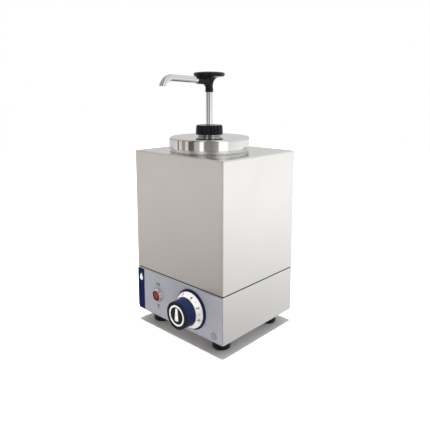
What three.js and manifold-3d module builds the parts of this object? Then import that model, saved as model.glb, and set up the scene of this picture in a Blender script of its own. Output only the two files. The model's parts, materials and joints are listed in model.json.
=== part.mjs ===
// Countertop nacho cheese dispenser: a heated square cabinet, a lift-out container and a lid pump.
// Millimetres, +Z up, front towards -Y. The origin is on the standing surface, under the middle of the
// whole object. Heights are measured from the standing surface.

import * as THREE from "three";
import { mergeVertices } from "three/addons/utils/BufferGeometryUtils.js";
import Module from "manifold-3d";

// Cabinet
const CABINET_WIDTH = 220;
const CABINET_DEPTH = 196;
const FOOT_HEIGHT = 24;
const BASE_HEIGHT = 84;
const SEAM_GAP = 2;
const SHELL_HEIGHT = 222;
const SHEET = 1.5;
const CORNER_RADIUS = 3;
const SEAM_LIP_HEIGHT = 8;
const DECK_OPENING_RADIUS = 50;

// Feet
const FOOT_INSET = 32;
const FOOT_TOP_RADIUS = 17;
const FOOT_BOTTOM_RADIUS = 15.8;
const FOOT_EDGE_RADIUS = 2.5;
const FOOT_SCREW_RADIUS = 2;
const FOOT_SCREW_HEAD_RADIUS = 4.2;
const FOOT_SCREW_HEAD_HEIGHT = 3;
const FOOT_RECESS_RADIUS = 5.2;
const FOOT_RECESS_DEPTH = 9;
const FOOT_SCREW_TOP = 30;

// Control panel, with places across the cabinet and above its base
const FOIL_THICKNESS = 0.4;
const FOIL_CORNER_RADIUS = 3;
const FOIL_SIDE_MARGIN = 0.75;
const FOIL_EDGE_MARGIN = 2.25;
const DIAL_X = 36.9;
const DIAL_HEIGHT = 42.6;
const DISC_RADIUS = 35.6;
const DISC_THICKNESS = 1.4;
const SKIRT_RADIUS = 32;
const SKIRT_BACK = 2.3;
const SKIRT_EDGE = 6;
const GRIP_RADIUS = 26;
const GRIP_START = 14.1;
const CAP_RADIUS = 24.2;
const CAP_START = 33.2;
const KNOB_REACH = 35.5;
const SPINDLE_RADIUS = 3;
const SPINDLE_REACH = 27;
const THERMOSTAT_SIZE = 38;
const THERMOSTAT_DEPTH = 26;
const THERMOSTAT_CORNER_RADIUS = 3;
const SPINDLE_CLEARANCE = 1;
const KNOB_HUB_RADIUS = 5.1;
const KNOB_EDGE = 1;
const LAMP_X = -50.6;
const LAMP_HEIGHT = 42.1;
const LAMP_FLANGE_RADIUS = 12.4;
const LAMP_FLANGE_THICKNESS = 1.2;
const LAMP_BEZEL_RADIUS = 10.8;
const LAMP_BEZEL_REACH = 6.5;
const LAMP_BEZEL_EDGE = 0.8;
const LAMP_BODY_RADIUS = 8.9;
const LAMP_BODY_REACH = 5.3;
const LAMP_LENS_RADIUS = 6.8;
const LAMP_LENS_SEAT = 2.5;
const LAMP_LENS_EDGE = 5.5;
const LAMP_LENS_SHOULDER = 5.3;
const LAMP_NECK_RADIUS = 8;
const LAMP_DEPTH = 28;
const LAMP_NUT_HEIGHT = 4;
const PLUG_X = 90.3;
const PLUG_HEIGHT = 11.6;
const PLUG_RADIUS = 6.5;
const PLUG_SHANK_RADIUS = 4;
const PLUG_SHANK_LENGTH = 4.5;
const PLUG_EDGE = 0.8;
const PLUG_DOME = 1.5;
const WALL_CUT = 6;

// Power inlet in the back of the base
const INLET_X = 60;
const INLET_HEIGHT = 42;
const INLET_FLANGE = [50, 23];
const INLET_BODY = [29, 21];
const INLET_MOUTH = [24.4, 16.4];
const INLET_FLANGE_THICKNESS = 3;
const INLET_BODY_DEPTH = 20;
const INLET_MOUTH_DEPTH = 17;
const INLET_PIN = [2, 4, 12];
const INLET_PIN_SPACING = 7;
const INLET_PIN_RISE = 2;
const INLET_FLANGE_CORNER_RADIUS = 4;
const INLET_BODY_CORNER_RADIUS = 1;
const INLET_MOUTH_CORNER_RADIUS = 3;
const INLET_SCREW_SPACING = 40;
const INLET_SCREW_LENGTH = 4.5;
const INLET_SCREW_TOP_RADIUS = 2;
const INLET_SCREW_RADIUS = 1.6;
const INLET_SCREW_HEAD_RADIUS = 3;
const INLET_SCREW_HEAD_HEIGHT = 1.2;

// Terminal block, on the bottom plate: width, depth, height and corner radius
const TERMINAL_BLOCK = [44, 20, 16, 2];

// Heated well, on the pump's axis
const PUMP_OFFSET = -14;
const WELL_RADIUS = 69;
const WELL_BOTTOM = 128;
const WELL_TOP = 349.7;
const WELL_FLANGE_RADIUS = 71.5;
const WELL_FLANGE_THICKNESS = 1.2;
const HEATER_THICKNESS = 2.4;
const HEATER_SPAN = [150, 210];
const BULB_RADIUS = 1.4;
const BULB_SPAN = [225, 285];
const JACKET_RADII = [72.7, 80];
const JACKET_SPAN = [132, 325];

// Container
const CONTAINER_RADIUS = 66;
const CONTAINER_BOTTOM = 132;
const CONTAINER_BASE_RADIUS = 8;
const CONTAINER_RIM_RADIUS = 70.6;
const CONTAINER_RIM_THICKNESS = 2;

// Lid
const LID_RADIUS = 73;
const LID_SKIRT_BOTTOM = 338.8;
const LID_TOP = 358;
const LID_EDGE_RADIUS = 3.5;
const LID_HOLE_RADIUS = 17.4;
const LID_BOSS_RADIUS = 21;
const LID_BOSS_TOP = 361.8;
const GASKET_RADII = [65.5, 70.6];

// Pump
const COLLAR_RADIUS = 24.6;
const COLLAR_VALLEY_RADIUS = 23.4;
const COLLAR_RIBS = 20;
const COLLAR_SPAN = [362, 379];
const COLLAR_ROOF = 4.5;
const NECK_RADII = [13, 16.6];
const CYLINDER_RADII = [17, 20];
const CYLINDER_BOTTOM = 150;
const CYLINDER_FLANGE_RADIUS = 25;
const CYLINDER_FLANGE_SPAN = [350.2, 353.6];
const CYLINDER_SHOULDER = 347;
const CYLINDER_TOP = 374;
const CYLINDER_GASKET_RADII = [17.2, 25];
const BUSH_SPAN = [360, 375.5];
const BUSH_LIP = 1.5;
const COLLAR_ROD_GAP = 2;
const VALVE_BOTTOM = 138;
const VALVE_SEAT_RADIUS = 5;
const VALVE_CHAMBER_RADIUS = 8;
const VALVE_SEAT = 146;
const VALVE_TOP = 158;
const VALVE_BALL_RADIUS = 6;
const VALVE_CHAMFER = 4;
const VALVE_SEAL_THICKNESS = 1.4;
const SPRING_RADIUS = 13.2;
const SPRING_WIRE_RADIUS = 1.1;
const SPRING_TURNS = 8;
const PISTON_RADIUS = 16.5;
const PISTON_BOTTOM = 226;
const PISTON_HEIGHT = 12;
const PISTON_HUB_RADIUS = 9;
const PISTON_HUB_HEIGHT = 14;
const PISTON_SEAL_INNER = 14.6;
const PISTON_SEAL_OUTER = 16.9;
const PISTON_GROOVE_SPAN = [230, 234];
const DISCHARGE_BALL_RADIUS = 4.4;
const DISCHARGE_SEAT_RADIUS = 3.4;
const DISCHARGE_CHAMBER_RADIUS = 5.4;
const DISCHARGE_CHAMBER_BOTTOM = 233;
const ROD_RADII = [4.4, 6];
const ROD_BOTTOM = 244;
const ROD_SHOULDER = 440;
const ROD_TOP = 449;
const ROD_SPIGOT_RADIUS = 4.9;
const ROD_SPIGOT_BORE = 3;
const ROD_SPIGOT_STEP = 2;

// Handle and spout, with distances out from the pump's axis
const HANDLE_BOTTOM = 436.6;
const HANDLE_NECK_RADIUS = 7.4;
const HANDLE_WAIST_RADIUS = 6.4;
const HANDLE_WAIST = 447;
const HANDLE_NECK_STRAIGHT = 3;
const HANDLE_FLARE_TOP = 461.6;
const HANDLE_FLARE_RADIUS = 17;
const HANDLE_CAP_LOWER = [26.4, 462.6];
const HANDLE_CAP_UPPER = [28.1, 470];
const HANDLE_EDGE = 1.5;
const HANDLE_DOME_HEIGHT = 472.9;
const HANDLE_TOP = 473.3;
const HANDLE_BOSS_RADIUS = 7;
const HANDLE_BOSS_REACH = 32;
const SPOUT_RADII = [4.3, 5.8];
const SPOUT_START = [14.5, 457.4];
const SPOUT_BEND_START = [88.7, 460.6];
const SPOUT_BEND_RADIUS = 20.8;
const SPOUT_BEND_DEGREES = 80;
const SPOUT_TIP = 446.9;
const SPOUT_SEAL_THICKNESS = 1.6;
const SPOUT_SEAL_WIDTH = 2;

// Clearances and facets
const GAP = 0.3;
const CONTACT = 0.1;
const LARGE_SIDES = 32;
const MEDIUM_SIDES = 20;
const SMALL_SIDES = 12;
const HEXAGON_SIDES = 6;
const CORNER_STEPS = 2;
const TUBE_SEGMENTS = 6;
const WIRE_SEGMENTS = 3;
const SPOUT_STEPS = 22;
const SPRING_STEPS_PER_TURN = 8;
const MERGE_DISTANCE = 1e-3;
const RIGHT_ANGLE = Math.PI / 2;

// Heights and places that follow from the sizes above
const BASE_BOTTOM = FOOT_HEIGHT;
const BASE_TOP = BASE_BOTTOM + BASE_HEIGHT;
const SHELL_BOTTOM = BASE_TOP + SEAM_GAP;
const SHELL_TOP = SHELL_BOTTOM + SHELL_HEIGHT;
const HALF_DEPTH = CABINET_DEPTH / 2;
const DISC_BACK = CONTACT + FOIL_THICKNESS + CONTACT;
const FRONT_REACH = HALF_DEPTH + KNOB_REACH;
const BACK_REACH = HALF_DEPTH + CONTACT + INLET_FLANGE_THICKNESS + CONTACT + INLET_SCREW_HEAD_HEIGHT;
const CABINET_Y = (FRONT_REACH - BACK_REACH) / 2;
const CONTAINER_RIM_BOTTOM = WELL_TOP + CONTACT;
const CONTAINER_RIM_TOP = CONTAINER_RIM_BOTTOM + CONTAINER_RIM_THICKNESS;
const LID_UNDERSIDE = LID_TOP - SHEET;

const manifold = await Module();
manifold.setup();

// Materials: every mesh gets its own
const steel = () => new THREE.MeshStandardMaterial({ color: 0xc8c5c0, roughness: 0.35, metalness: 1 });
const polished = () => new THREE.MeshStandardMaterial({ color: 0xdcdbd8, roughness: 0.12, metalness: 1 });
const aluminium = () => new THREE.MeshStandardMaterial({ color: 0xb4b5b8, roughness: 0.45, metalness: 1 });
const brass = () => new THREE.MeshStandardMaterial({ color: 0xb58e4a, roughness: 0.35, metalness: 1 });
const blackPlastic = () => new THREE.MeshStandardMaterial({ color: 0x15171f, roughness: 0.3, metalness: 0 });
const blackRubber = () => new THREE.MeshStandardMaterial({ color: 0x17181c, roughness: 0.7, metalness: 0 });
const clearSilicone = () => new THREE.MeshStandardMaterial({ color: 0xd9d4cb, roughness: 0.6, metalness: 0 });
const whitePlastic = () => new THREE.MeshStandardMaterial({ color: 0xe8e6e2, roughness: 0.5, metalness: 0 });
const navyPlastic = () => new THREE.MeshStandardMaterial({ color: 0x252e55, roughness: 0.4, metalness: 0 });
const greyPlastic = () => new THREE.MeshStandardMaterial({ color: 0x8c8c90, roughness: 0.5, metalness: 0 });
const panelFoil = () => new THREE.MeshStandardMaterial({ color: 0xa3a3ad, roughness: 0.5, metalness: 0 });
const redLens = () => new THREE.MeshStandardMaterial({ color: 0xa5412a, roughness: 0.2, metalness: 0 });
const insulation = () => new THREE.MeshStandardMaterial({ color: 0xd8d3c2, roughness: 0.95, metalness: 0 });

// Solids

function toSolid(geometry) {
  const bare = geometry.index ? geometry.toNonIndexed() : geometry.clone();
  bare.deleteAttribute("normal");
  bare.deleteAttribute("uv");
  const merged = mergeVertices(bare, MERGE_DISTANCE);
  const surface = new manifold.Mesh({
    numProp: 3,
    vertProperties: merged.attributes.position.array,
    triVerts: new Uint32Array(merged.index.array),
  });
  return new manifold.Manifold(surface);
}

function toGeometry(solid) {
  const surface = solid.getMesh();
  const geometry = new THREE.BufferGeometry();
  geometry.setAttribute("position", new THREE.BufferAttribute(surface.vertProperties, surface.numProp));
  geometry.setIndex(new THREE.BufferAttribute(surface.triVerts, 1));
  geometry.computeVertexNormals();
  return geometry;
}

function cut(body, ...tools) {
  return toGeometry(tools.reduce((solid, tool) => solid.subtract(toSolid(tool)), toSolid(body)));
}

function join(body, ...others) {
  return toGeometry(others.reduce((solid, other) => solid.add(toSolid(other)), toSolid(body)));
}

// A profile of [radius, height] points, anticlockwise with the radius to the right, turned about Z.
function revolve(points, sides) {
  const profile = points.map(([radius, height]) => new THREE.Vector2(radius, height));
  return new THREE.LatheGeometry(profile, sides).rotateX(RIGHT_ANGLE);
}

function revolveRing(points, sides) {
  return revolve([...points, points[0]], sides);
}

function disc(radius, bottom, top, sides) {
  return revolve([[0, bottom], [radius, bottom], [radius, top], [0, top]], sides);
}

function pipe(inner, outer, bottom, top, sides) {
  return revolveRing([[inner, bottom], [outer, bottom], [outer, top], [inner, top]], sides);
}

// The corner radius of a bore's facets that clears a turning shaft of this radius all the way round.
function boreAround(radius, sides) {
  return (radius + CONTACT) / Math.cos(Math.PI / sides);
}

// The points of an arc, its ends included.
function arc(centre, radius, fromDegrees, toDegrees, steps) {
  return Array.from({ length: steps + 1 }, (_, step) => {
    const angle = THREE.MathUtils.degToRad(fromDegrees + ((toDegrees - fromDegrees) * step) / steps);
    return [centre[0] + radius * Math.cos(angle), centre[1] + radius * Math.sin(angle)];
  });
}

function roundedRectangle(width, height, radius) {
  const x = width / 2 - radius;
  const y = height / 2 - radius;
  const outline = new THREE.Shape();
  outline.absarc(x, y, radius, 0, RIGHT_ANGLE);
  outline.absarc(-x, y, radius, RIGHT_ANGLE, 2 * RIGHT_ANGLE);
  outline.absarc(-x, -y, radius, 2 * RIGHT_ANGLE, 3 * RIGHT_ANGLE);
  outline.absarc(x, -y, radius, 3 * RIGHT_ANGLE, 4 * RIGHT_ANGLE);
  return outline;
}

// A plate with round corners, centred on Z.
function plate(width, height, radius, bottom, top) {
  const outline = roundedRectangle(width, height, radius);
  const settings = { depth: top - bottom, bevelEnabled: false, curveSegments: CORNER_STEPS };
  return new THREE.ExtrudeGeometry(outline, settings).translate(0, 0, bottom);
}

// A round hole through a wall that faces -Y or +Y.
function wallHole(radius, x, y, z, length) {
  return new THREE.CylinderGeometry(radius, radius, length, SMALL_SIDES).translate(x, y, z);
}

// The holes through the front wall, or through the foil on it, for the dial, the lamp and the plug.
function panelHoles() {
  return [
    [SPINDLE_RADIUS + SPINDLE_CLEARANCE, DIAL_X, DIAL_HEIGHT],
    [LAMP_NECK_RADIUS + GAP, LAMP_X, LAMP_HEIGHT],
    [PLUG_SHANK_RADIUS + GAP, PLUG_X, PLUG_HEIGHT],
  ].map(([radius, x, height]) => wallHole(radius, x, -HALF_DEPTH, BASE_BOTTOM + height, WALL_CUT));
}

function annulus(inner, outer) {
  const outline = new THREE.Shape().absarc(0, 0, outer, 0, 4 * RIGHT_ANGLE);
  outline.holes.push(new THREE.Path().absarc(0, 0, inner, 0, 4 * RIGHT_ANGLE, true));
  return outline;
}

function part(name, geometry, material) {
  const mesh = new THREE.Mesh(geometry, material);
  mesh.name = name;
  return mesh;
}

// A group whose own Z axis points out of the cabinet's front, or of its back, and whose Y axis points up.
function wallGroup(x, height, isBack) {
  const upright = new THREE.Group();
  upright.rotation.x = RIGHT_ANGLE;
  const side = new THREE.Group();
  side.rotation.z = isBack ? Math.PI : 0;
  side.position.set(x, isBack ? HALF_DEPTH : -HALF_DEPTH, BASE_BOTTOM + height);
  side.add(upright);
  return { side, upright };
}

// Cabinet pieces

function makeUpperShell() {
  const outside = plate(CABINET_WIDTH, CABINET_DEPTH, CORNER_RADIUS, SHELL_BOTTOM, SHELL_TOP);
  const inside = plate(
    CABINET_WIDTH - 2 * SHEET,
    CABINET_DEPTH - 2 * SHEET,
    CORNER_RADIUS - SHEET,
    SHELL_BOTTOM - SHEET,
    SHELL_TOP - SHEET,
  );
  const opening = disc(WELL_RADIUS + GAP, SHELL_TOP - 2 * SHEET, SHELL_TOP + SHEET, LARGE_SIDES);
  opening.translate(0, PUMP_OFFSET, 0);
  return part("upper_shell", cut(outside, inside, opening), steel());
}

function makeBaseShell() {
  const lipWidth = CABINET_WIDTH - 2 * (SHEET + GAP);
  const lipDepth = CABINET_DEPTH - 2 * (SHEET + GAP);
  const walls = plate(CABINET_WIDTH, CABINET_DEPTH, CORNER_RADIUS, BASE_BOTTOM, BASE_TOP);
  const lip = plate(lipWidth, lipDepth, SHEET, BASE_TOP - SHEET, BASE_TOP + SEAM_LIP_HEIGHT);
  const inside = plate(
    CABINET_WIDTH - 2 * SHEET,
    CABINET_DEPTH - 2 * SHEET,
    CORNER_RADIUS - SHEET,
    BASE_BOTTOM - SHEET,
    BASE_TOP - SHEET,
  );
  const aboveDeck = plate(
    lipWidth - 2 * SHEET,
    lipDepth - 2 * SHEET,
    SHEET / 2,
    BASE_TOP,
    BASE_TOP + 2 * SEAM_LIP_HEIGHT,
  );
  const wiring = disc(DECK_OPENING_RADIUS, BASE_TOP - 2 * SHEET, BASE_TOP + SHEET, MEDIUM_SIDES);
  const [inletWidth, inletHeight] = INLET_BODY;
  const inletCut = new THREE.BoxGeometry(inletWidth + 2 * GAP, WALL_CUT, inletHeight + 2 * GAP);
  inletCut.translate(INLET_X, HALF_DEPTH, BASE_BOTTOM + INLET_HEIGHT);
  const screwHoles = [-1, 1].map((side) =>
    wallHole(
      INLET_SCREW_RADIUS + GAP,
      INLET_X + (side * INLET_SCREW_SPACING) / 2,
      HALF_DEPTH,
      BASE_BOTTOM + INLET_HEIGHT,
      WALL_CUT,
    ),
  );
  const folded = join(cut(walls, inside), lip);
  return part(
    "base_shell",
    cut(folded, aboveDeck, wiring, ...panelHoles(), inletCut, ...screwHoles),
    steel(),
  );
}

function footPlaces() {
  const x = CABINET_WIDTH / 2 - FOOT_INSET;
  const y = HALF_DEPTH - FOOT_INSET;
  return [
    { place: "front_left", x: -x, y: -y },
    { place: "front_right", x, y: -y },
    { place: "rear_left", x: -x, y },
    { place: "rear_right", x, y },
  ];
}

function makeBottomPlate() {
  const bottom = BASE_BOTTOM + GAP;
  const sheet = plate(
    CABINET_WIDTH - 2 * (SHEET + GAP),
    CABINET_DEPTH - 2 * (SHEET + GAP),
    CORNER_RADIUS - SHEET,
    bottom,
    bottom + SHEET,
  );
  const holes = footPlaces().map(({ x, y }) =>
    disc(FOOT_SCREW_RADIUS + GAP, bottom - SHEET, bottom + 2 * SHEET, SMALL_SIDES).translate(x, y, 0),
  );
  return part("bottom_plate", cut(sheet, ...holes), steel());
}

function makeFoot(place) {
  const hole = FOOT_SCREW_RADIUS + GAP;
  const edge = arc(
    [FOOT_BOTTOM_RADIUS - FOOT_EDGE_RADIUS, FOOT_EDGE_RADIUS],
    FOOT_EDGE_RADIUS,
    -90,
    0,
    CORNER_STEPS,
  );
  const profile = [
    [hole, FOOT_RECESS_DEPTH],
    [FOOT_RECESS_RADIUS, FOOT_RECESS_DEPTH],
    [FOOT_RECESS_RADIUS, 0],
    ...edge,
    [FOOT_TOP_RADIUS, FOOT_HEIGHT],
    [hole, FOOT_HEIGHT],
  ];
  return part(`foot_${place}`, revolveRing(profile, MEDIUM_SIDES), blackRubber());
}

function makeFootScrew(place) {
  const headTop = FOOT_RECESS_DEPTH - CONTACT;
  const profile = [
    [0, headTop - FOOT_SCREW_HEAD_HEIGHT],
    [FOOT_SCREW_HEAD_RADIUS, headTop - FOOT_SCREW_HEAD_HEIGHT],
    [FOOT_SCREW_HEAD_RADIUS, headTop],
    [FOOT_SCREW_RADIUS, headTop],
    [FOOT_SCREW_RADIUS, FOOT_SCREW_TOP],
    [0, FOOT_SCREW_TOP],
  ];
  return part(`foot_screw_${place}`, revolve(profile, SMALL_SIDES), steel());
}

function makeCabinet() {
  const cabinet = new THREE.Group();
  cabinet.add(makeUpperShell(), makeBaseShell(), makeBottomPlate());
  for (const { place, x, y } of footPlaces()) {
    for (const mesh of [makeFoot(place), makeFootScrew(place)]) {
      mesh.position.set(x, y, 0);
      cabinet.add(mesh);
    }
  }
  return cabinet;
}

// Control panel

function makePanelFoil() {
  const width = CABINET_WIDTH - 2 * FOIL_SIDE_MARGIN;
  const height = BASE_HEIGHT - 2 * FOIL_EDGE_MARGIN;
  const sheet = plate(width, height, FOIL_CORNER_RADIUS, 0, FOIL_THICKNESS).rotateX(RIGHT_ANGLE);
  sheet.translate(0, -HALF_DEPTH - CONTACT, BASE_BOTTOM + BASE_HEIGHT / 2);
  return part("control_panel_foil", cut(sheet, ...panelHoles()), panelFoil());
}

function makePilotLamp() {
  const { side, upright } = wallGroup(LAMP_X, LAMP_HEIGHT, false);
  const bezel = revolveRing(
    [
      [LAMP_BODY_RADIUS + GAP, DISC_BACK],
      [LAMP_FLANGE_RADIUS, DISC_BACK],
      [LAMP_FLANGE_RADIUS, DISC_BACK + LAMP_FLANGE_THICKNESS],
      [LAMP_BEZEL_RADIUS, LAMP_BEZEL_REACH - LAMP_BEZEL_EDGE],
      [LAMP_BEZEL_RADIUS - LAMP_BEZEL_EDGE, LAMP_BEZEL_REACH],
      [LAMP_BODY_RADIUS + GAP, LAMP_BEZEL_REACH],
    ],
    MEDIUM_SIDES,
  );
  const body = revolve(
    [
      [0, -LAMP_DEPTH],
      [LAMP_NECK_RADIUS, -LAMP_DEPTH],
      [LAMP_NECK_RADIUS, DISC_BACK],
      [LAMP_BODY_RADIUS, DISC_BACK],
      [LAMP_BODY_RADIUS, LAMP_BODY_REACH],
      [LAMP_LENS_RADIUS + CONTACT, LAMP_BODY_REACH],
      [LAMP_LENS_RADIUS + CONTACT, LAMP_LENS_SEAT],
      [0, LAMP_LENS_SEAT],
    ],
    MEDIUM_SIDES,
  );
  const lens = revolve(
    [
      [0, LAMP_LENS_SEAT + CONTACT],
      [LAMP_LENS_RADIUS, LAMP_LENS_SEAT + CONTACT],
      [LAMP_LENS_RADIUS, LAMP_LENS_EDGE],
      [LAMP_LENS_SHOULDER, LAMP_BEZEL_REACH],
      [0, LAMP_BEZEL_REACH + GAP],
    ],
    MEDIUM_SIDES,
  );
  const nutBlank = disc(LAMP_FLANGE_RADIUS, -SHEET - LAMP_NUT_HEIGHT, -SHEET - CONTACT, HEXAGON_SIDES);
  const nutBore = disc(LAMP_NECK_RADIUS + GAP, -LAMP_DEPTH, 0, MEDIUM_SIDES);
  upright.add(
    part("pilot_lamp_bezel", bezel, polished()),
    part("pilot_lamp_body", body, blackPlastic()),
    part("pilot_lamp_lens", lens, redLens()),
    part("pilot_lamp_nut", cut(nutBlank, nutBore), steel()),
  );
  return side;
}

function makeBlankingPlug() {
  const { side, upright } = wallGroup(PLUG_X, PLUG_HEIGHT, false);
  const plug = revolve(
    [
      [0, -PLUG_SHANK_LENGTH],
      [PLUG_SHANK_RADIUS, -PLUG_SHANK_LENGTH],
      [PLUG_SHANK_RADIUS, DISC_BACK],
      [PLUG_RADIUS, DISC_BACK],
      [PLUG_RADIUS, DISC_BACK + PLUG_EDGE],
      [0, DISC_BACK + PLUG_DOME],
    ],
    MEDIUM_SIDES,
  );
  upright.add(part("blanking_plug", plug, greyPlastic()));
  return side;
}

function makeThermostat() {
  const { side, upright } = wallGroup(DIAL_X, DIAL_HEIGHT, false);
  const back = -SHEET - GAP - THERMOSTAT_DEPTH;
  const corner = THERMOSTAT_CORNER_RADIUS;
  const block = plate(THERMOSTAT_SIZE, THERMOSTAT_SIZE, corner, back, -SHEET - GAP);
  const boreRadius = boreAround(SPINDLE_RADIUS, SMALL_SIDES);
  const bore = disc(boreRadius, -THERMOSTAT_DEPTH / 2, SHEET, SMALL_SIDES);
  const backing = pipe(
    SPINDLE_RADIUS + SPINDLE_CLEARANCE,
    DISC_RADIUS,
    DISC_BACK,
    DISC_BACK + DISC_THICKNESS,
    LARGE_SIDES,
  );
  upright.add(
    part("thermostat_body", cut(block, bore), aluminium()),
    part("dial_backing_disc", backing, navyPlastic()),
  );
  return side;
}

function makeKnob() {
  const { side, upright } = wallGroup(DIAL_X, DIAL_HEIGHT, false);
  const bore = SPINDLE_RADIUS + CONTACT;
  const skirt = revolveRing(
    [
      [KNOB_HUB_RADIUS, SKIRT_BACK],
      [SKIRT_RADIUS, SKIRT_BACK],
      [SKIRT_RADIUS, SKIRT_EDGE],
      [GRIP_RADIUS, GRIP_START],
      [KNOB_HUB_RADIUS, GRIP_START],
    ],
    LARGE_SIDES,
  );
  const grip = revolve(
    [
      [0, SPINDLE_REACH + CONTACT],
      [bore, SPINDLE_REACH + CONTACT],
      [bore, GRIP_START + CONTACT],
      [GRIP_RADIUS - KNOB_EDGE, GRIP_START + CONTACT],
      [CAP_RADIUS, CAP_START],
      [0, CAP_START],
    ],
    LARGE_SIDES,
  );
  const cap = revolve(
    [
      [0, CAP_START + CONTACT],
      [CAP_RADIUS, CAP_START + CONTACT],
      [CAP_RADIUS, KNOB_REACH - KNOB_EDGE],
      [CAP_RADIUS - KNOB_EDGE, KNOB_REACH],
      [0, KNOB_REACH],
    ],
    LARGE_SIDES,
  );
  const spindle = disc(SPINDLE_RADIUS, -THERMOSTAT_DEPTH / 2 + GAP, SPINDLE_REACH, SMALL_SIDES);
  upright.add(
    part("knob_skirt", skirt, whitePlastic()),
    part("knob_grip", grip, navyPlastic()),
    part("knob_cap", cap, blackPlastic()),
    part("thermostat_spindle", spindle, brass()),
  );
  return side;
}

// Mains side

function makePowerInlet() {
  const { side, upright } = wallGroup(INLET_X, INLET_HEIGHT, true);
  const face = CONTACT + INLET_FLANGE_THICKNESS;
  const mouthFloor = face - INLET_MOUTH_DEPTH;
  const [flangeWidth, flangeHeight] = INLET_FLANGE;
  const [bodyWidth, bodyHeight] = INLET_BODY;
  const [mouthWidth, mouthHeight] = INLET_MOUTH;
  const flange = plate(flangeWidth, flangeHeight, INLET_FLANGE_CORNER_RADIUS, CONTACT, face);
  const block = plate(bodyWidth, bodyHeight, INLET_BODY_CORNER_RADIUS, -INLET_BODY_DEPTH, face);
  const mouth = plate(mouthWidth, mouthHeight, INLET_MOUTH_CORNER_RADIUS, mouthFloor, face + SHEET);
  const screwHoles = [-1, 1].map((end) =>
    disc(INLET_SCREW_RADIUS + GAP, -SHEET, face + SHEET, SMALL_SIDES).translate(
      (end * INLET_SCREW_SPACING) / 2,
      0,
      0,
    ),
  );
  upright.add(part("power_inlet", cut(join(flange, block), mouth, ...screwHoles), blackPlastic()));
  const [pinWidth, pinHeight, pinLength] = INLET_PIN;
  const pins = [
    ["inlet_pin_live", -INLET_PIN_SPACING, -INLET_PIN_RISE],
    ["inlet_pin_earth", 0, INLET_PIN_RISE],
    ["inlet_pin_neutral", INLET_PIN_SPACING, -INLET_PIN_RISE],
  ];
  for (const [name, x, y] of pins) {
    const pin = part(name, new THREE.BoxGeometry(pinWidth, pinHeight, pinLength), brass());
    pin.position.set(x, y, mouthFloor + CONTACT + pinLength / 2);
    upright.add(pin);
  }
  for (const [name, end] of [["inlet_screw_left", 1], ["inlet_screw_right", -1]]) {
    const screw = revolve(
      [
        [0, -INLET_SCREW_LENGTH],
        [INLET_SCREW_RADIUS, -INLET_SCREW_LENGTH],
        [INLET_SCREW_RADIUS, face + CONTACT],
        [INLET_SCREW_HEAD_RADIUS, face + CONTACT],
        [INLET_SCREW_TOP_RADIUS, face + CONTACT + INLET_SCREW_HEAD_HEIGHT],
        [0, face + CONTACT + INLET_SCREW_HEAD_HEIGHT],
      ],
      SMALL_SIDES,
    );
    const mesh = part(name, screw, steel());
    mesh.position.x = (end * INLET_SCREW_SPACING) / 2;
    upright.add(mesh);
  }
  return side;
}

function makeTerminalBlock() {
  const [width, depth, height, corner] = TERMINAL_BLOCK;
  const block = part("terminal_block", plate(width, depth, corner, 0, height), whitePlastic());
  block.position.set(-INLET_X, HALF_DEPTH / 2, BASE_BOTTOM + GAP + SHEET + CONTACT);
  return block;
}

// Heated well

function makeWell() {
  const well = new THREE.Group();
  const inner = WELL_RADIUS - SHEET;
  const flangeBottom = SHELL_TOP + CONTACT;
  const pot = revolve(
    [
      [0, WELL_BOTTOM],
      [WELL_RADIUS, WELL_BOTTOM],
      [WELL_RADIUS, flangeBottom],
      [WELL_FLANGE_RADIUS, flangeBottom],
      [WELL_FLANGE_RADIUS, flangeBottom + WELL_FLANGE_THICKNESS],
      [WELL_RADIUS, flangeBottom + WELL_FLANGE_THICKNESS],
      [WELL_RADIUS, WELL_TOP],
      [inner, WELL_TOP],
      [inner, WELL_BOTTOM + SHEET],
      [0, WELL_BOTTOM + SHEET],
    ],
    LARGE_SIDES,
  );
  const heaterInner = WELL_RADIUS + GAP;
  const heater = pipe(heaterInner, heaterInner + HEATER_THICKNESS, ...HEATER_SPAN, LARGE_SIDES);
  const bulb = disc(BULB_RADIUS, ...BULB_SPAN, SMALL_SIDES);
  bulb.translate(WELL_RADIUS + GAP + BULB_RADIUS, 0, 0);
  const jacket = pipe(...JACKET_RADII, ...JACKET_SPAN, LARGE_SIDES);
  well.add(
    part("well_pot", pot, steel()),
    part("band_heater", heater, steel()),
    part("thermostat_bulb", bulb, steel()),
    part("insulation_jacket", jacket, insulation()),
  );
  return well;
}

function makeContainer() {
  const inner = CONTAINER_RADIUS - SHEET;
  const innerCorner = CONTAINER_BASE_RADIUS - SHEET;
  const cornerHeight = CONTAINER_BOTTOM + CONTAINER_BASE_RADIUS;
  const outsideCentre = [CONTAINER_RADIUS - CONTAINER_BASE_RADIUS, cornerHeight];
  const outside = arc(outsideCentre, CONTAINER_BASE_RADIUS, -90, 0, CORNER_STEPS);
  const inside = arc([inner - innerCorner, cornerHeight], innerCorner, 0, -90, CORNER_STEPS);
  const profile = [
    [0, CONTAINER_BOTTOM],
    ...outside,
    [CONTAINER_RADIUS, CONTAINER_RIM_BOTTOM],
    [CONTAINER_RIM_RADIUS, CONTAINER_RIM_BOTTOM],
    [CONTAINER_RIM_RADIUS, CONTAINER_RIM_TOP],
    [inner, CONTAINER_RIM_TOP],
    ...inside,
    [0, CONTAINER_BOTTOM + SHEET],
  ];
  return part("food_container", revolve(profile, LARGE_SIDES), steel());
}

// Lid and pump

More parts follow.
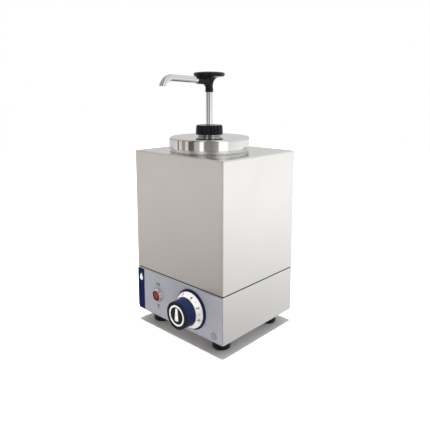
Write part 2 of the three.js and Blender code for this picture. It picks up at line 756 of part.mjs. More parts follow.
function makeLid() {
  const lid = new THREE.Group();
  const inner = LID_RADIUS - SHEET;
  const edgeCentre = [LID_RADIUS - LID_EDGE_RADIUS, LID_TOP - LID_EDGE_RADIUS];
  const edge = arc(edgeCentre, LID_EDGE_RADIUS, 0, 90, CORNER_STEPS);
  const shell = revolveRing(
    [
      [LID_HOLE_RADIUS, LID_UNDERSIDE],
      [inner - SHEET, LID_UNDERSIDE],
      [inner, LID_UNDERSIDE - SHEET],
      [inner, LID_SKIRT_BOTTOM],
      [LID_RADIUS, LID_SKIRT_BOTTOM],
      ...edge,
      [LID_HOLE_RADIUS, LID_TOP],
    ],
    LARGE_SIDES,
  );
  const boss = pipe(LID_HOLE_RADIUS, LID_BOSS_RADIUS, LID_TOP + CONTACT, LID_BOSS_TOP, MEDIUM_SIDES);
  const gasketBottom = CONTAINER_RIM_TOP + CONTACT;
  const gasket = pipe(...GASKET_RADII, gasketBottom, LID_UNDERSIDE - SHEET, LARGE_SIDES);
  lid.add(
    part("lid_shell", shell, polished()),
    part("lid_boss_ring", boss, polished()),
    part("lid_gasket", gasket, clearSilicone()),
  );
  return lid;
}

function makePumpCylinder() {
  const [neckBore, neckRadius] = NECK_RADII;
  const [bore, radius] = CYLINDER_RADII;
  const [flangeBottom, flangeTop] = CYLINDER_FLANGE_SPAN;
  const profile = [
    [bore, CYLINDER_BOTTOM],
    [radius, CYLINDER_BOTTOM],
    [radius, flangeBottom],
    [CYLINDER_FLANGE_RADIUS, flangeBottom],
    [CYLINDER_FLANGE_RADIUS, flangeTop],
    [neckRadius, flangeTop],
    [neckRadius, CYLINDER_TOP],
    [neckBore, CYLINDER_TOP],
    [neckBore, CYLINDER_SHOULDER],
    [bore, CYLINDER_SHOULDER],
  ];
  return part("pump_cylinder", revolveRing(profile, MEDIUM_SIDES), whitePlastic());
}

function makeFootValve() {
  const valve = new THREE.Group();
  const [bore, radius] = CYLINDER_RADII;
  const sealBottom = CYLINDER_BOTTOM - CONTACT - VALVE_SEAL_THICKNESS;
  const body = revolveRing(
    [
      [VALVE_SEAT_RADIUS, VALVE_BOTTOM],
      [radius - VALVE_CHAMFER, VALVE_BOTTOM],
      [radius, VALVE_BOTTOM + VALVE_CHAMFER],
      [radius, sealBottom - CONTACT],
      [bore - GAP, sealBottom - CONTACT],
      [bore - GAP, VALVE_TOP],
      [VALVE_CHAMBER_RADIUS, VALVE_TOP],
      [VALVE_CHAMBER_RADIUS, VALVE_SEAT],
      [VALVE_SEAT_RADIUS, VALVE_SEAT],
    ],
    MEDIUM_SIDES,
  );
  const seal = pipe(bore - CONTACT, radius, sealBottom, CYLINDER_BOTTOM - CONTACT, MEDIUM_SIDES);
  const ball = new THREE.SphereGeometry(VALVE_BALL_RADIUS, SMALL_SIDES, SMALL_SIDES / 2);
  const ballRise = Math.sqrt(VALVE_BALL_RADIUS ** 2 - VALVE_SEAT_RADIUS ** 2);
  ball.rotateX(RIGHT_ANGLE).translate(0, 0, VALVE_SEAT + ballRise + CONTACT);
  valve.add(
    part("foot_valve_body", body, whitePlastic()),
    part("foot_valve_seal", seal, blackRubber()),
    part("foot_valve_ball", ball, polished()),
  );
  return valve;
}

class Helix extends THREE.Curve {
  constructor(radius, bottom, top, turns) {
    super();
    Object.assign(this, { radius, bottom, top, turns });
  }

  getPoint(t, target = new THREE.Vector3()) {
    const angle = 2 * Math.PI * this.turns * t;
    const height = this.bottom + (this.top - this.bottom) * t;
    return target.set(this.radius * Math.cos(angle), this.radius * Math.sin(angle), height);
  }
}

function makeReturnSpring() {
  const bottom = VALVE_TOP + CONTACT + SPRING_WIRE_RADIUS + GAP;
  const top = PISTON_BOTTOM - CONTACT - SPRING_WIRE_RADIUS - GAP;
  const centreline = new Helix(SPRING_RADIUS, bottom, top, SPRING_TURNS);
  const wire = new THREE.Shape().absarc(0, 0, SPRING_WIRE_RADIUS, 0, 4 * RIGHT_ANGLE);
  const steps = SPRING_TURNS * SPRING_STEPS_PER_TURN;
  const settings = { steps, extrudePath: centreline, curveSegments: WIRE_SEGMENTS };
  return part("return_spring", new THREE.ExtrudeGeometry(wire, settings), steel());
}

function makeLidSeals() {
  const seals = new THREE.Group();
  const [, flangeTop] = CYLINDER_FLANGE_SPAN;
  const washer = pipe(...CYLINDER_GASKET_RADII, flangeTop + CONTACT, LID_UNDERSIDE - CONTACT, MEDIUM_SIDES);
  const [bottom, top] = BUSH_SPAN;
  const [, rodRadius] = ROD_RADII;
  const bore = boreAround(rodRadius, MEDIUM_SIDES);
  const bush = pipe(bore, NECK_RADII[0] - CONTACT, bottom, CYLINDER_TOP, MEDIUM_SIDES);
  const lip = pipe(bore, bore + BUSH_LIP, CYLINDER_TOP - CONTACT, top, MEDIUM_SIDES);
  seals.add(
    part("cylinder_gasket", washer, clearSilicone()),
    part("rod_guide_bush", join(bush, lip), whitePlastic()),
  );
  return seals;
}

function makeCollarNut() {
  const [bottom, top] = COLLAR_SPAN;
  const outline = new THREE.Shape();
  const corners = 4 * COLLAR_RIBS;
  const points = Array.from({ length: corners }, (_, corner) => {
    const radius = corner % 4 < 2 ? COLLAR_RADIUS : COLLAR_VALLEY_RADIUS;
    const angle = (2 * Math.PI * corner) / corners;
    return new THREE.Vector2(radius * Math.cos(angle), radius * Math.sin(angle));
  });
  outline.setFromPoints(points);
  const body = new THREE.ExtrudeGeometry(outline, { depth: top - bottom, bevelEnabled: false });
  body.translate(0, 0, bottom);
  const threadRadius = boreAround(NECK_RADII[1], MEDIUM_SIDES);
  const thread = disc(threadRadius, bottom - SHEET, top - COLLAR_ROOF, MEDIUM_SIDES);
  const rodHole = disc(ROD_RADII[1] + COLLAR_ROD_GAP, bottom, top + SHEET, MEDIUM_SIDES);
  return part("collar_nut", cut(body, thread, rodHole), blackPlastic());
}

function makePlunger() {
  const plunger = new THREE.Group();
  const [rodBore, rodRadius] = ROD_RADII;
  const [grooveBottom, grooveTop] = PISTON_GROOVE_SPAN;
  const pistonTop = PISTON_BOTTOM + PISTON_HEIGHT;
  const groove = PISTON_SEAL_INNER - CONTACT;
  const piston = revolveRing(
    [
      [DISCHARGE_SEAT_RADIUS, PISTON_BOTTOM],
      [PISTON_RADIUS, PISTON_BOTTOM],
      [PISTON_RADIUS, grooveBottom],
      [groove, grooveBottom],
      [groove, grooveTop],
      [PISTON_RADIUS, grooveTop],
      [PISTON_RADIUS, pistonTop],
      [PISTON_HUB_RADIUS, pistonTop],
      [PISTON_HUB_RADIUS, pistonTop + PISTON_HUB_HEIGHT],
      [rodRadius + CONTACT, pistonTop + PISTON_HUB_HEIGHT],
      [rodRadius + CONTACT, ROD_BOTTOM - CONTACT],
      [DISCHARGE_CHAMBER_RADIUS, ROD_BOTTOM - CONTACT],
      [DISCHARGE_CHAMBER_RADIUS, DISCHARGE_CHAMBER_BOTTOM],
      [DISCHARGE_SEAT_RADIUS, DISCHARGE_CHAMBER_BOTTOM],
    ],
    MEDIUM_SIDES,
  );
  const seal = pipe(
    PISTON_SEAL_INNER,
    PISTON_SEAL_OUTER,
    grooveBottom + CONTACT,
    grooveTop - CONTACT,
    MEDIUM_SIDES,
  );
  const ball = new THREE.SphereGeometry(DISCHARGE_BALL_RADIUS, SMALL_SIDES, SMALL_SIDES / 2);
  const ballRise = Math.sqrt(DISCHARGE_BALL_RADIUS ** 2 - DISCHARGE_SEAT_RADIUS ** 2);
  ball.rotateX(RIGHT_ANGLE).translate(0, 0, DISCHARGE_CHAMBER_BOTTOM + ballRise + CONTACT);
  const rod = revolveRing(
    [
      [rodBore, ROD_BOTTOM],
      [rodRadius, ROD_BOTTOM],
      [rodRadius, ROD_SHOULDER],
      [ROD_SPIGOT_RADIUS, ROD_SHOULDER],
      [ROD_SPIGOT_RADIUS, ROD_TOP],
      [ROD_SPIGOT_BORE, ROD_TOP],
      [ROD_SPIGOT_BORE, ROD_SHOULDER - ROD_SPIGOT_STEP],
      [rodBore, ROD_SHOULDER - ROD_SPIGOT_STEP],
    ],
    SMALL_SIDES,
  );
  plunger.add(
    part("piston", piston, whitePlastic()),
    part("piston_seal", seal, blackRubber()),
    part("discharge_valve_ball", ball, polished()),
    part("piston_rod", rod, polished()),
  );
  return plunger;
}

// The spout's centreline, straight out of the handle and then bending down, in the plane of the pump's
// axis. Distances out from the axis run towards -Y.
class SpoutCentreline extends THREE.Curve {
  constructor() {
    super();
    const [startOut, startHeight] = SPOUT_START;
    const [bendOut, bendHeight] = SPOUT_BEND_START;
    this.slope = Math.atan2(bendHeight - startHeight, bendOut - startOut);
    this.straight = Math.hypot(bendOut - startOut, bendHeight - startHeight);
    this.bend = SPOUT_BEND_RADIUS * THREE.MathUtils.degToRad(SPOUT_BEND_DEGREES);
  }

  getPoint(t, target = new THREE.Vector3()) {
    const along = t * (this.straight + this.bend);
    const onStraight = Math.min(along, this.straight);
    const turned = Math.max(along - this.straight, 0) / SPOUT_BEND_RADIUS;
    const forward = SPOUT_BEND_RADIUS * Math.sin(turned);
    const drop = SPOUT_BEND_RADIUS * (1 - Math.cos(turned));
    const out = (onStraight + forward) * Math.cos(this.slope) + drop * Math.sin(this.slope);
    const rise = (onStraight + forward) * Math.sin(this.slope) - drop * Math.cos(this.slope);
    return target.set(0, -(SPOUT_START[0] + out), SPOUT_START[1] + rise);
  }
}

function makeSpout() {
  const centreline = new SpoutCentreline();
  const settings = { steps: SPOUT_STEPS, extrudePath: centreline, curveSegments: TUBE_SEGMENTS };
  const tube = new THREE.ExtrudeGeometry(annulus(...SPOUT_RADII), settings);
  const belowTip = new THREE.BoxGeometry(4 * SPOUT_BEND_RADIUS, 8 * SPOUT_BEND_RADIUS, SPOUT_BEND_RADIUS);
  belowTip.translate(0, -SPOUT_BEND_START[0], SPOUT_TIP - SPOUT_BEND_RADIUS / 2);
  return part("spout_tube", cut(tube, belowTip), polished());
}

// Turns a piece revolved about Z so that it lies along the spout's straight stretch, from the pump's axis.
function alongSpout(geometry) {
  const { slope } = new SpoutCentreline();
  const [startOut, startHeight] = SPOUT_START;
  return geometry.rotateX(RIGHT_ANGLE - slope).translate(0, 0, startHeight - startOut * Math.tan(slope));
}

function makeSpoutSeal() {
  const [, radius] = SPOUT_RADII;
  const top = SPOUT_START[0] - CONTACT;
  const ring = pipe(radius - SPOUT_SEAL_WIDTH, radius, top - SPOUT_SEAL_THICKNESS, top, MEDIUM_SIDES);
  return part("spout_seal", alongSpout(ring), blackRubber());
}

function makeHandleBody() {
  const [lowerRadius, lowerHeight] = HANDLE_CAP_LOWER;
  const [upperRadius, upperHeight] = HANDLE_CAP_UPPER;
  const flareWidth = HANDLE_FLARE_RADIUS - HANDLE_WAIST_RADIUS;
  const flareHeight = HANDLE_FLARE_TOP - HANDLE_WAIST;
  const flare = arc([1, 0], 1, 180, 90, 2 * CORNER_STEPS).map(([x, y]) => [
    HANDLE_WAIST_RADIUS + flareWidth * x,
    HANDLE_WAIST + flareHeight * y,
  ]);
  return revolve(
    [
      [0, HANDLE_BOTTOM],
      [HANDLE_NECK_RADIUS, HANDLE_BOTTOM],
      [HANDLE_NECK_RADIUS, HANDLE_BOTTOM + HANDLE_NECK_STRAIGHT],
      ...flare,
      [lowerRadius, lowerHeight],
      [upperRadius, upperHeight],
      [upperRadius - HANDLE_EDGE, upperHeight + HANDLE_EDGE],
      [upperRadius / 2, HANDLE_DOME_HEIGHT],
      [0, HANDLE_TOP],
    ],
    MEDIUM_SIDES,
  );
}

function makeHandle() {
  const bossBar = alongSpout(disc(HANDLE_BOSS_RADIUS, 0, HANDLE_BOSS_REACH, MEDIUM_SIDES));
  const socketStart = SPOUT_START[0] - SPOUT_SEAL_THICKNESS - 2 * CONTACT;
  const socketRadius = boreAround(SPOUT_RADII[1], MEDIUM_SIDES);
  const socket = alongSpout(disc(socketRadius, socketStart, 2 * HANDLE_BOSS_REACH, MEDIUM_SIDES));
  const passage = alongSpout(disc(ROD_SPIGOT_BORE, 0, HANDLE_BOSS_REACH, SMALL_SIDES));
  const rodRadius = boreAround(ROD_RADII[1], SMALL_SIDES);
  const rodBore = disc(rodRadius, HANDLE_BOTTOM - SHEET, ROD_SHOULDER + CONTACT, SMALL_SIDES);
  const spigotRadius = boreAround(ROD_SPIGOT_RADIUS, SMALL_SIDES);
  const spigotBore = disc(spigotRadius, ROD_SHOULDER, ROD_TOP + CONTACT, SMALL_SIDES);
  const riser = disc(ROD_SPIGOT_BORE, ROD_TOP, SPOUT_START[1], SMALL_SIDES);
  const solid = join(makeHandleBody(), bossBar);
  return part("pump_handle", cut(solid, socket, passage, rodBore, spigotBore, riser), blackPlastic());
}

// The whole object

const onPumpAxis = new THREE.Group();
onPumpAxis.position.y = PUMP_OFFSET;
onPumpAxis.add(
  makeWell(),
  makeContainer(),
  makeLid(),
  makePumpCylinder(),
  makeFootValve(),
  makeReturnSpring(),
  makeLidSeals(),
  makeCollarNut(),
  makePlunger(),
  makeHandle(),
  makeSpout(),
  makeSpoutSeal(),
);

const dispenser = new THREE.Group();
dispenser.position.y = CABINET_Y;
dispenser.add(
  makeCabinet(),
  makePanelFoil(),
  makePilotLamp(),
  makeBlankingPlug(),
  makeThermostat(),
  makeKnob(),
  makePowerInlet(),
  makeTerminalBlock(),
  onPumpAxis,
);

export default dispenser;
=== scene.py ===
"""The looks of a countertop nacho cheese dispenser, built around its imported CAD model.

Sizes are in millimetres until a mesh is made, and every place comes from the CAD model's boxes.
"""

import json
from math import atan2, cos, pi, radians, sin, tan

import bmesh
import bpy
from mathutils import Matrix, Vector


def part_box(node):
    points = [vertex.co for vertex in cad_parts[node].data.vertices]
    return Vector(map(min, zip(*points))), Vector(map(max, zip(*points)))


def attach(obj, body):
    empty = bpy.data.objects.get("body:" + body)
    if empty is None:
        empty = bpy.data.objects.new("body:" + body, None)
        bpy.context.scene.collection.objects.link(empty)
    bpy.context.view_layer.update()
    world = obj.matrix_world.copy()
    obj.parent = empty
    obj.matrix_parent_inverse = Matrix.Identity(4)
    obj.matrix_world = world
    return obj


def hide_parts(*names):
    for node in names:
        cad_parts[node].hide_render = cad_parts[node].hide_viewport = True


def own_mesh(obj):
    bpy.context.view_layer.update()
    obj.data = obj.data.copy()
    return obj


MM = 0.001

# Facets
LARGE_SIDES = 96
MEDIUM_SIDES = 64
SMALL_SIDES = 36
FILLET_STEPS = 5
SIDES_PER_BOX_QUARTER = 24
STEPS_PER_BOX_CORNER = 6
SHARP_ANGLE = radians(35)
FILLET_SHARE_OF_SIDE = 0.48
WELD_DISTANCE = 0.001
FACES_UP = 0.9

# Sheet metal
SHEET = 1.5
CORNER_RADIUS = 3
FOLD_RADIUS = 2.2
HEM = 0.4
DECK_HOLE_CLEARANCE = 0.3
SEAM_LIP_INSET = 1.8
SEAM_FOLD_RADIUS = 0.7
WIRING_HOLE_RADIUS = 50
WELL_FLANGE_WIDTH = 2.5
RING_INSET = 16
PANEL_HOLES = {"dial_backing_disc": 4.2, "pilot_lamp_bezel": 8.3, "blanking_plug": 4.3}
INLET_HOLE = (29.6, 21.6, 1)
INLET_SCREWS = ("inlet_screw_left", "inlet_screw_right")
SCREW_HOLE_RADIUS = 1.9

# Panel
STRIP_WIDTH = 18.8
FOIL_UPPER_RADIUS = 3
FOIL_LOWER_RADIUS = 6
FOIL_RIGHT_RADIUS = 2
INK_HEIGHT = 0.06
DROP_HALF_SIZE = (6.2, 7.4)
DROP_SIDES = 40
DROP_PINCH = 0.8
DROP_BELOW_EDGE = 16
SIGN_PITCH = 3.4
SIGN_STROKE = 1.8
WAVE_HEIGHT = 4.8
WAVE_SWING = 0.6
WAVE_STEPS = 14
WAVES_ABOVE_LAMP = 9
BAR_ROUNDNESS = 0.45
BAR_PITCH = 3.1
BAR_WIDTHS = (7.4, 5.2, 3.0)
BARS_BELOW_LAMP = 10

# Dial
DIGITS = "123456"
DIGIT_STEP = 42
DIGIT_HEIGHT = 5.6
DIGIT_BOLDNESS = 0.24
DIGIT_CURVE_STEPS = 4
FONT_SIZE_PER_HEIGHT = 1.4
TICK_SIZE = (1.1, 2.0)
# Depth of the band at the grip's base painted black as painted shade of the gap there
GRIP_SHADOW_GAP = 1.5
CAP_RECESS = 0.5
CAP_MARK_HEIGHT = 0.3
CAP_RING_RADII = (15, 18)
CAP_POINTER = ((-4.4, -9.5, 1.2), (4.4, -9.5, 1.2), (2.4, 12.6, 1.6), (-2.4, 12.6, 1.6))
# The skirt's printed cone: radius and height at its edge and at its top
SKIRT_CONE = (31.8, 4.0, 26.3, 11.55)

# Collar and handle
COLLAR_RIBS = 20
COLLAR_RIB_DEPTH = 1.7
COLLAR_SIDES = 320
COLLAR_STEP = 0.8
COLLAR_ROOF = 4.5
RIBS_OUTSIDE = 21
RIB_START = 1.0
RIB_FADE = 1.6
RIB_END_BELOW_TOP = 2.0
RIB_END_FADE = 1.8
VALLEY_SHARE = 0.7
SPOUT_SIDES = 48
SPOUT_STRAIGHT_STEPS = 16
SPOUT_BEND_STEPS = 28
SPOUT_BEND_ANGLE = 80
SPOUT_WASHER_PLACE = 12.8
SPOUT_RADII = (4.3, 5.8)
SPOUT_START = (14.5, 457.4)
SPOUT_BEND_START = (88.7, 460.6)
SPOUT_BEND_RADIUS = 20.8
SPOUT_TIP = 446.9
HANDLE_VOXEL = 0.5
HANDLE_SMOOTHING = 6
NECK_SMOOTHING = 30
NECK_TOP = 462
NECK_RADIUS = 6.6
HANDLE_WAIST = (6.5, 446.5)
HANDLE_FLARE = (17.5, 463.2)
FLARE_STEPS = 12
GUSSET_RADIUS = 8
GUSSET_WIDTH = 12
BOSS_RADIUS = 7
BOSS_REACH = 32
BOSS_UNDERSIDE = 450.9

# Spring
SPRING_TURNS = 8
SPRING_WIRE_RADIUS = 1.1
SPRING_STEPS_PER_TURN = 32
SPRING_WIRE_SIDES = 14

# Looks
NOISE_MIDDLE = (0.3, 0.7)
SMEAR_SCALE = (14, 14, 9)
PATCH_SCALE = (60, 60, 60)
SHEET_STEEL = (0.79, 0.78, 0.76)
# Colour, roughness range, grain per metre along each axis, anisotropy and depth of grain.
# Cabinet sheet is brushed upwards on its walls.
METALS = {
    "cabinet_steel": (SHEET_STEEL, (0.27, 0.36), (1500, 1500, 16), 0.75, 1),
    "deck_steel": ((0.69, 0.688, 0.68), (0.13, 0.19), (60, 1500, 60), 0, 0.15),
    "well_steel": (SHEET_STEEL, (0.22, 0.32), (60, 60, 1500), 0.5, 1),
    "container_steel": (SHEET_STEEL, (0.16, 0.26), (60, 60, 1500), 0.5, 1),
    "polished_steel": ((0.68, 0.677, 0.672), (0.05, 0.1), (40, 40, 1200), 0.2, 0.3),
    "plain_steel": ((0.68, 0.68, 0.67), (0.25, 0.38), (200, 200, 900), 0.3, 1),
    "lamp_chrome": ((0.88, 0.88, 0.89), (0.05, 0.1), (300, 300, 300), 0, 0.2),
    "bare_brass": ((0.75, 0.6, 0.34), (0.22, 0.36), (500, 900, 500), 0.2, 1),
    "bare_aluminium": ((0.7, 0.71, 0.72), (0.4, 0.55), (700, 700, 700), 0, 1),
}
# Colour, roughness range, size of grain in millimetres, its depth, gloss, and the darkest and
# lightest shade where they aren't the usual ones
PLASTICS = {
    "foot_rubber": ((0.008, 0.0085, 0.011), (0.42, 0.6), 0.35, 0.25, 0.2),
    # Seal rubber is also painted on the seam lip as painted shade of the seam's shadow line.
    "seal_rubber": ((0.015, 0.015, 0.015), (0.4, 0.55), 0.3, 0.1, 0.3),
    # Black plastic is also painted on the grip's base as painted shade of the gap under it.
    "black_plastic": ((0.007, 0.0075, 0.011), (0.16, 0.28), 0.5, 0.06, 0.2),
    "inlet_plastic": ((0.016, 0.016, 0.018), (0.38, 0.5), 0.4, 0.2, 0.3),
    "navy_plastic": ((0.01, 0.017, 0.058), (0.3, 0.42), 0.45, 0.12, 0.12),
    "navy_ink": ((0.003, 0.01, 0.07), (0.4, 0.5), 0.4, 0.06, 0.05),
    "black_ink": ((0.02, 0.02, 0.024), (0.4, 0.55), 0.4, 0.05, 0.3),
    "white_ink": ((0.8, 0.8, 0.78), (0.4, 0.55), 0.4, 0.05, 0.3),
    "scale_white": ((0.62, 0.612, 0.585), (0.32, 0.45), 0.5, 0.08, 0.3),
    "white_plastic": ((0.8, 0.79, 0.76), (0.32, 0.45), 0.5, 0.1, 0.3, 0.96, 1.03),
    "grey_plastic": ((0.24, 0.24, 0.25), (0.38, 0.5), 0.4, 0.12, 0.3),
}

# Camera
CAMERA_PLACE = (0.6008, -0.626, 0.4388)
CAMERA_TURN = (80.688, 0, 43.077)
CAMERA_LENS = 40.245
CAMERA_SENSOR = 36
CAMERA_SHIFT = -0.1047

# Light round the object by compass direction: degrees from +X towards +Y, brightness and warmth
SURROUNDINGS = (
    (-180, 0.56, 0.5), (-153, 0.68, 1), (-147, 0.7, 1), (-145, 0.12, 1), (-141, 0.12, 1),
    (-139, 0.8, 1), (-130, 0.58, 1), (-127, 0.28, 1), (-119, 0.3, 1), (-115, 0.68, 1),
    (-109, 0.68, 1), (-105, 0.1, 1), (-91, 0.12, 1), (-87, 0.45, 1), (-75, 0.48, 1),
    (-71, 1.2, 0), (-64, 1.2, 0), (-60, 0.24, 1), (-40, 0.22, 1), (-22, 0.38, 1),
    (-18, 1.25, 0), (3, 1.25, 0), (10, 0.82, 0), (35, 0.9, 0), (62, 0.96, 0), (95, 0.85, 0),
    (133, 0.78, 0.3), (180, 0.56, 0.5),
)
WARM_WHITE = (1.06, 1.0, 0.955)

# The same light by height: the sine of the angle above the horizon, and a factor
HEIGHT_FALLOFF = (
    (-1.0, 0.2), (-0.6, 0.45), (-0.45, 0.88), (-0.36, 1.06), (-0.25, 1.34), (-0.15, 1.46),
    (-0.1, 1.26), (-0.04, 1.18), (0.04, 0.85), (0.35, 1.05), (0.7, 1.05), (1.0, 0.9),
)
FLOOR_REACH = 3
FLOOR_COLOUR = (0.9, 0.9, 0.9)
FLOOR_ROUGHNESS = 0.9
FLOOR_SPECKLE = (30, 30, 30)
KEY_STRENGTH = 4.6
KEY_ANGLE = 6
SHADOW_MAKERS = ("cabinet_cover", "cabinet_base", "bottom_plate")


# Profiles and rings


def filleted(corners, closed):
    """Draws each (across, up, radius) corner of a profile as an arc of that radius."""
    points = []
    last = len(corners) - 1
    for index, (across, up, radius) in enumerate(corners):
        here = Vector((across, up))
        if radius == 0 or (not closed and index in (0, last)):
            points.append(here)
            continue
        to_before = Vector(corners[index - 1][:2]) - here
        to_after = Vector(corners[(index + 1) % len(corners)][:2]) - here
        half_angle = to_before.angle(to_after) / 2
        longest = FILLET_SHARE_OF_SIDE * min(to_before.length, to_after.length)
        reach = min(radius / tan(half_angle), longest)
        towards = (to_before.normalized() + to_after.normalized()).normalized()
        centre = here + towards * reach / cos(half_angle)
        first = here + to_before.normalized() * reach - centre
        final = here + to_after.normalized() * reach - centre
        sweep = first.angle(final)
        for step in range(FILLET_STEPS + 1):
            share = step / FILLET_STEPS
            start_weight = sin((1 - share) * sweep) / sin(sweep)
            final_weight = sin(share * sweep) / sin(sweep)
            points.append(centre + first * start_weight + final * final_weight)
    return points


def circle(radius, height, sides, turn=0):
    """A level ring of points, or one point where the radius is nothing."""
    if radius < WELD_DISTANCE:
        return [Vector((0, 0, height))]
    angles = [2 * pi * side / sides + turn for side in range(sides)]
    return [Vector((radius * cos(a), radius * sin(a), height)) for a in angles]


def box_ring(half_width, half_depth, radius, height):
    """A level ring of points round a rectangle with round corners, as many as LARGE_SIDES."""
    sides = SIDES_PER_BOX_QUARTER - STEPS_PER_BOX_CORNER
    ring = []
    for quarter in range(4):
        turn = quarter * pi / 2
        reach = (half_width, half_depth) if quarter % 2 == 0 else (half_depth, half_width)
        side_start = -(reach[1] - radius)
        side_length = 2 * (reach[1] - radius)
        for step in range(sides):
            across = side_start + side_length * step / sides
            ring.append(turned_by(Vector((reach[0], across, height)), turn))
        for step in range(STEPS_PER_BOX_CORNER):
            angle = (pi / 2) * step / STEPS_PER_BOX_CORNER
            x = reach[0] - radius + radius * cos(angle)
            y = reach[1] - radius + radius * sin(angle)
            ring.append(turned_by(Vector((x, y, height)), turn))
    return ring


def turned_by(point, angle):
    """A point turned about +Z."""
    return Matrix.Rotation(angle, 3, "Z") @ point


# Meshes


def skin_over(rings, wrap):
    """A closed skin through rings of points. A ring of one point is a pole."""
    skin = bmesh.new()
    rows = [[skin.verts.new(point * MM) for point in ring] for ring in rings]
    pairs = list(zip(rows, rows[1:]))
    if wrap:
        pairs.append((rows[-1], rows[0]))
    for lower, upper in pairs:
        count = max(len(lower), len(upper))
        for side in range(count):
            following = (side + 1) % count
            if len(lower) == 1:
                corners = (lower[0], upper[following], upper[side])
            elif len(upper) == 1:
                corners = (lower[side], lower[following], upper[0])
            else:
                corners = (lower[side], lower[following], upper[following], upper[side])
            skin.faces.new(corners)
    bmesh.ops.recalc_face_normals(skin, faces=skin.faces)
    return skin


def lathe(corners, sides):
    """A solid turned from the profile's (radius, height, fillet) corners."""
    wrap = corners[0][0] > 0
    profile = filleted(corners, wrap)
    return skin_over([circle(point.x, point.y, sides) for point in profile], wrap)


def frame_of(node, axis):
    """From a part's own frame, with +Z along its axis from its low end, to the row frame."""
    low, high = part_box(node)
    middle = middle_of(node)
    lay_down = Matrix.Rotation(pi / 2, 4, "X")
    if axis == "up":
        return Matrix.Translation((middle.x, middle.y, low.z))
    if axis == "front":
        return Matrix.Translation((middle.x, high.y, middle.z)) @ lay_down
    turn_round = Matrix.Rotation(pi, 4, "Z")
    return Matrix.Translation((middle.x, low.y, middle.z)) @ turn_round @ lay_down


def middle_of(node):
    """The middle of a node's box."""
    low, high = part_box(node)
    return (low + high) / 2


def rise_of(node):
    """A node's height in millimetres."""
    low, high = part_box(node)
    return (high.z - low.z) / MM


def depth_of(node):
    """A node's size from front to back in millimetres."""
    low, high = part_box(node)
    return (high.y - low.y) / MM


def body_of(node):
    """The CAD body that a node belongs to."""
    bodies = frame["record"]["behaviour"]["bodies"]
    return next(body for body, members in bodies.items() if node in members)


def new_object(name, skin, place=None):
    """Links a mesh as an object and frees the skin it was made from."""
    mesh = bpy.data.meshes.new(name)
    if place is not None:
        bmesh.ops.transform(skin, matrix=place, verts=skin.verts)
    skin.to_mesh(mesh)
    skin.free()
    piece = bpy.data.objects.new(name, mesh)
    bpy.context.scene.collection.objects.link(piece)
    return piece


def apply_modifiers(piece):
    """Makes the result of the modifiers the piece's own mesh."""
    bpy.context.view_layer.update()
    result = piece.evaluated_get(bpy.context.evaluated_depsgraph_get())
    mesh = bpy.data.meshes.new_from_object(result)
    piece.modifiers.clear()
    piece.data = mesh


def combine(piece, others, operation):
    """Joins other solids to a piece, or cuts them from it, and removes them."""
    for other in others:
        modifier = piece.modifiers.new("combine", "BOOLEAN")
        modifier.operation = operation
        modifier.solver = "EXACT"
        modifier.object = other
    apply_modifiers(piece)
    for other in others:
        bpy.data.objects.remove(other)


def settle(piece, body, slot, nodes=(), looks=()):
    """Shades a piece, gives it its looks, which are its slot's unless named, ties it to its CAD body and
    hides the nodes it stands in for.
    """
    piece.data.materials.clear()
    for look in looks or [slot]:
        piece.data.materials.append(materials[look])
    piece.data.shade_smooth()
    piece.data.set_sharp_from_angle(angle=SHARP_ANGLE)
    weighting = piece.modifiers.new("even_shading", "WEIGHTED_NORMAL")
    weighting.keep_sharp = True
    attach(piece, body)
    if nodes:
        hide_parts(*nodes)
    return piece


def paint(piece, index, chosen):
    """Gives the faces that pass the test another of the piece's materials."""
    for face in piece.data.polygons:
        if chosen(face.center, face.normal):
            face.material_index = index


def stand_in(node, name, slot, skin, axis="up"):
    """A piece in place of a CAD node, from a skin drawn in the node's own frame."""
    piece = new_object(name, skin, frame_of(node, axis))
    return settle(piece, body_of(node), slot, [node])


def turned_part(node, name, slot, corners, axis="up", sides=MEDIUM_SIDES):
    """A turned piece in place of a CAD node."""
    return stand_in(node, name, slot, lathe(corners, sides), axis)


def ring_section(inner, outer, height, inner_fillet, outer_fillet):
    """The section of a flat ring with rounded edges, as profile corners."""
    return [
        (inner, 0, inner_fillet),
        (outer, 0, outer_fillet),
        (outer, height, outer_fillet),
        (inner, height, inner_fillet),
    ]


# Materials


def new_material(name, colour, roughness, metallic=0.0):
    """A material with its shader's plain values set, its node tree and its shader."""
    material = bpy.data.materials.new(name)
    material.use_nodes = True
    tree = material.node_tree
    shader = tree.nodes["Principled BSDF"]
    shader.inputs["Base Color"].default_value = (*colour, 1)
    shader.inputs["Roughness"].default_value = roughness
    shader.inputs["Metallic"].default_value = metallic
    return material, tree, shader


def add_node(tree, kind, inputs=(), **settings):
    """A shader node with its settings, each input set to a plain value or linked to an output."""
    node = tree.nodes.new(f"ShaderNode{kind}")
    for name, value in settings.items():
        setattr(node, name, value)
    for name, value in dict(inputs).items():
        if isinstance(value, bpy.types.NodeSocket):
            tree.links.new(value, node.inputs[name])
        else:
            node.inputs[name].default_value = value
    return node


def noise(tree, scale, detail=3.0, distortion=0.0):
    """Noise in the object's own coordinates, with a scale along each axis."""
    place = add_node(tree, "TexCoord").outputs["Object"]
    scaled = add_node(tree, "Mapping", {"Vector": place, "Scale": scale}).outputs["Vector"]
    settings = {"Vector": scaled, "Scale": 1, "Detail": detail, "Distortion": distortion}
    return add_node(tree, "TexNoise", settings).outputs["Fac"]


def spread(tree, value, low, high):
    """Stretches the middle of a noise over the range from low to high."""
    start, end = NOISE_MIDDLE
    ends = {"Value": value, "From Min": start, "From Max": end, "To Min": low, "To Max": high}
    return add_node(tree, "MapRange", ends).outputs["Result"]


def arithmetic(tree, operation, first, second):
    """One arithmetic step on two node outputs or numbers."""
    return add_node(tree, "Math", {0: first, 1: second}, operation=operation).outputs["Value"]


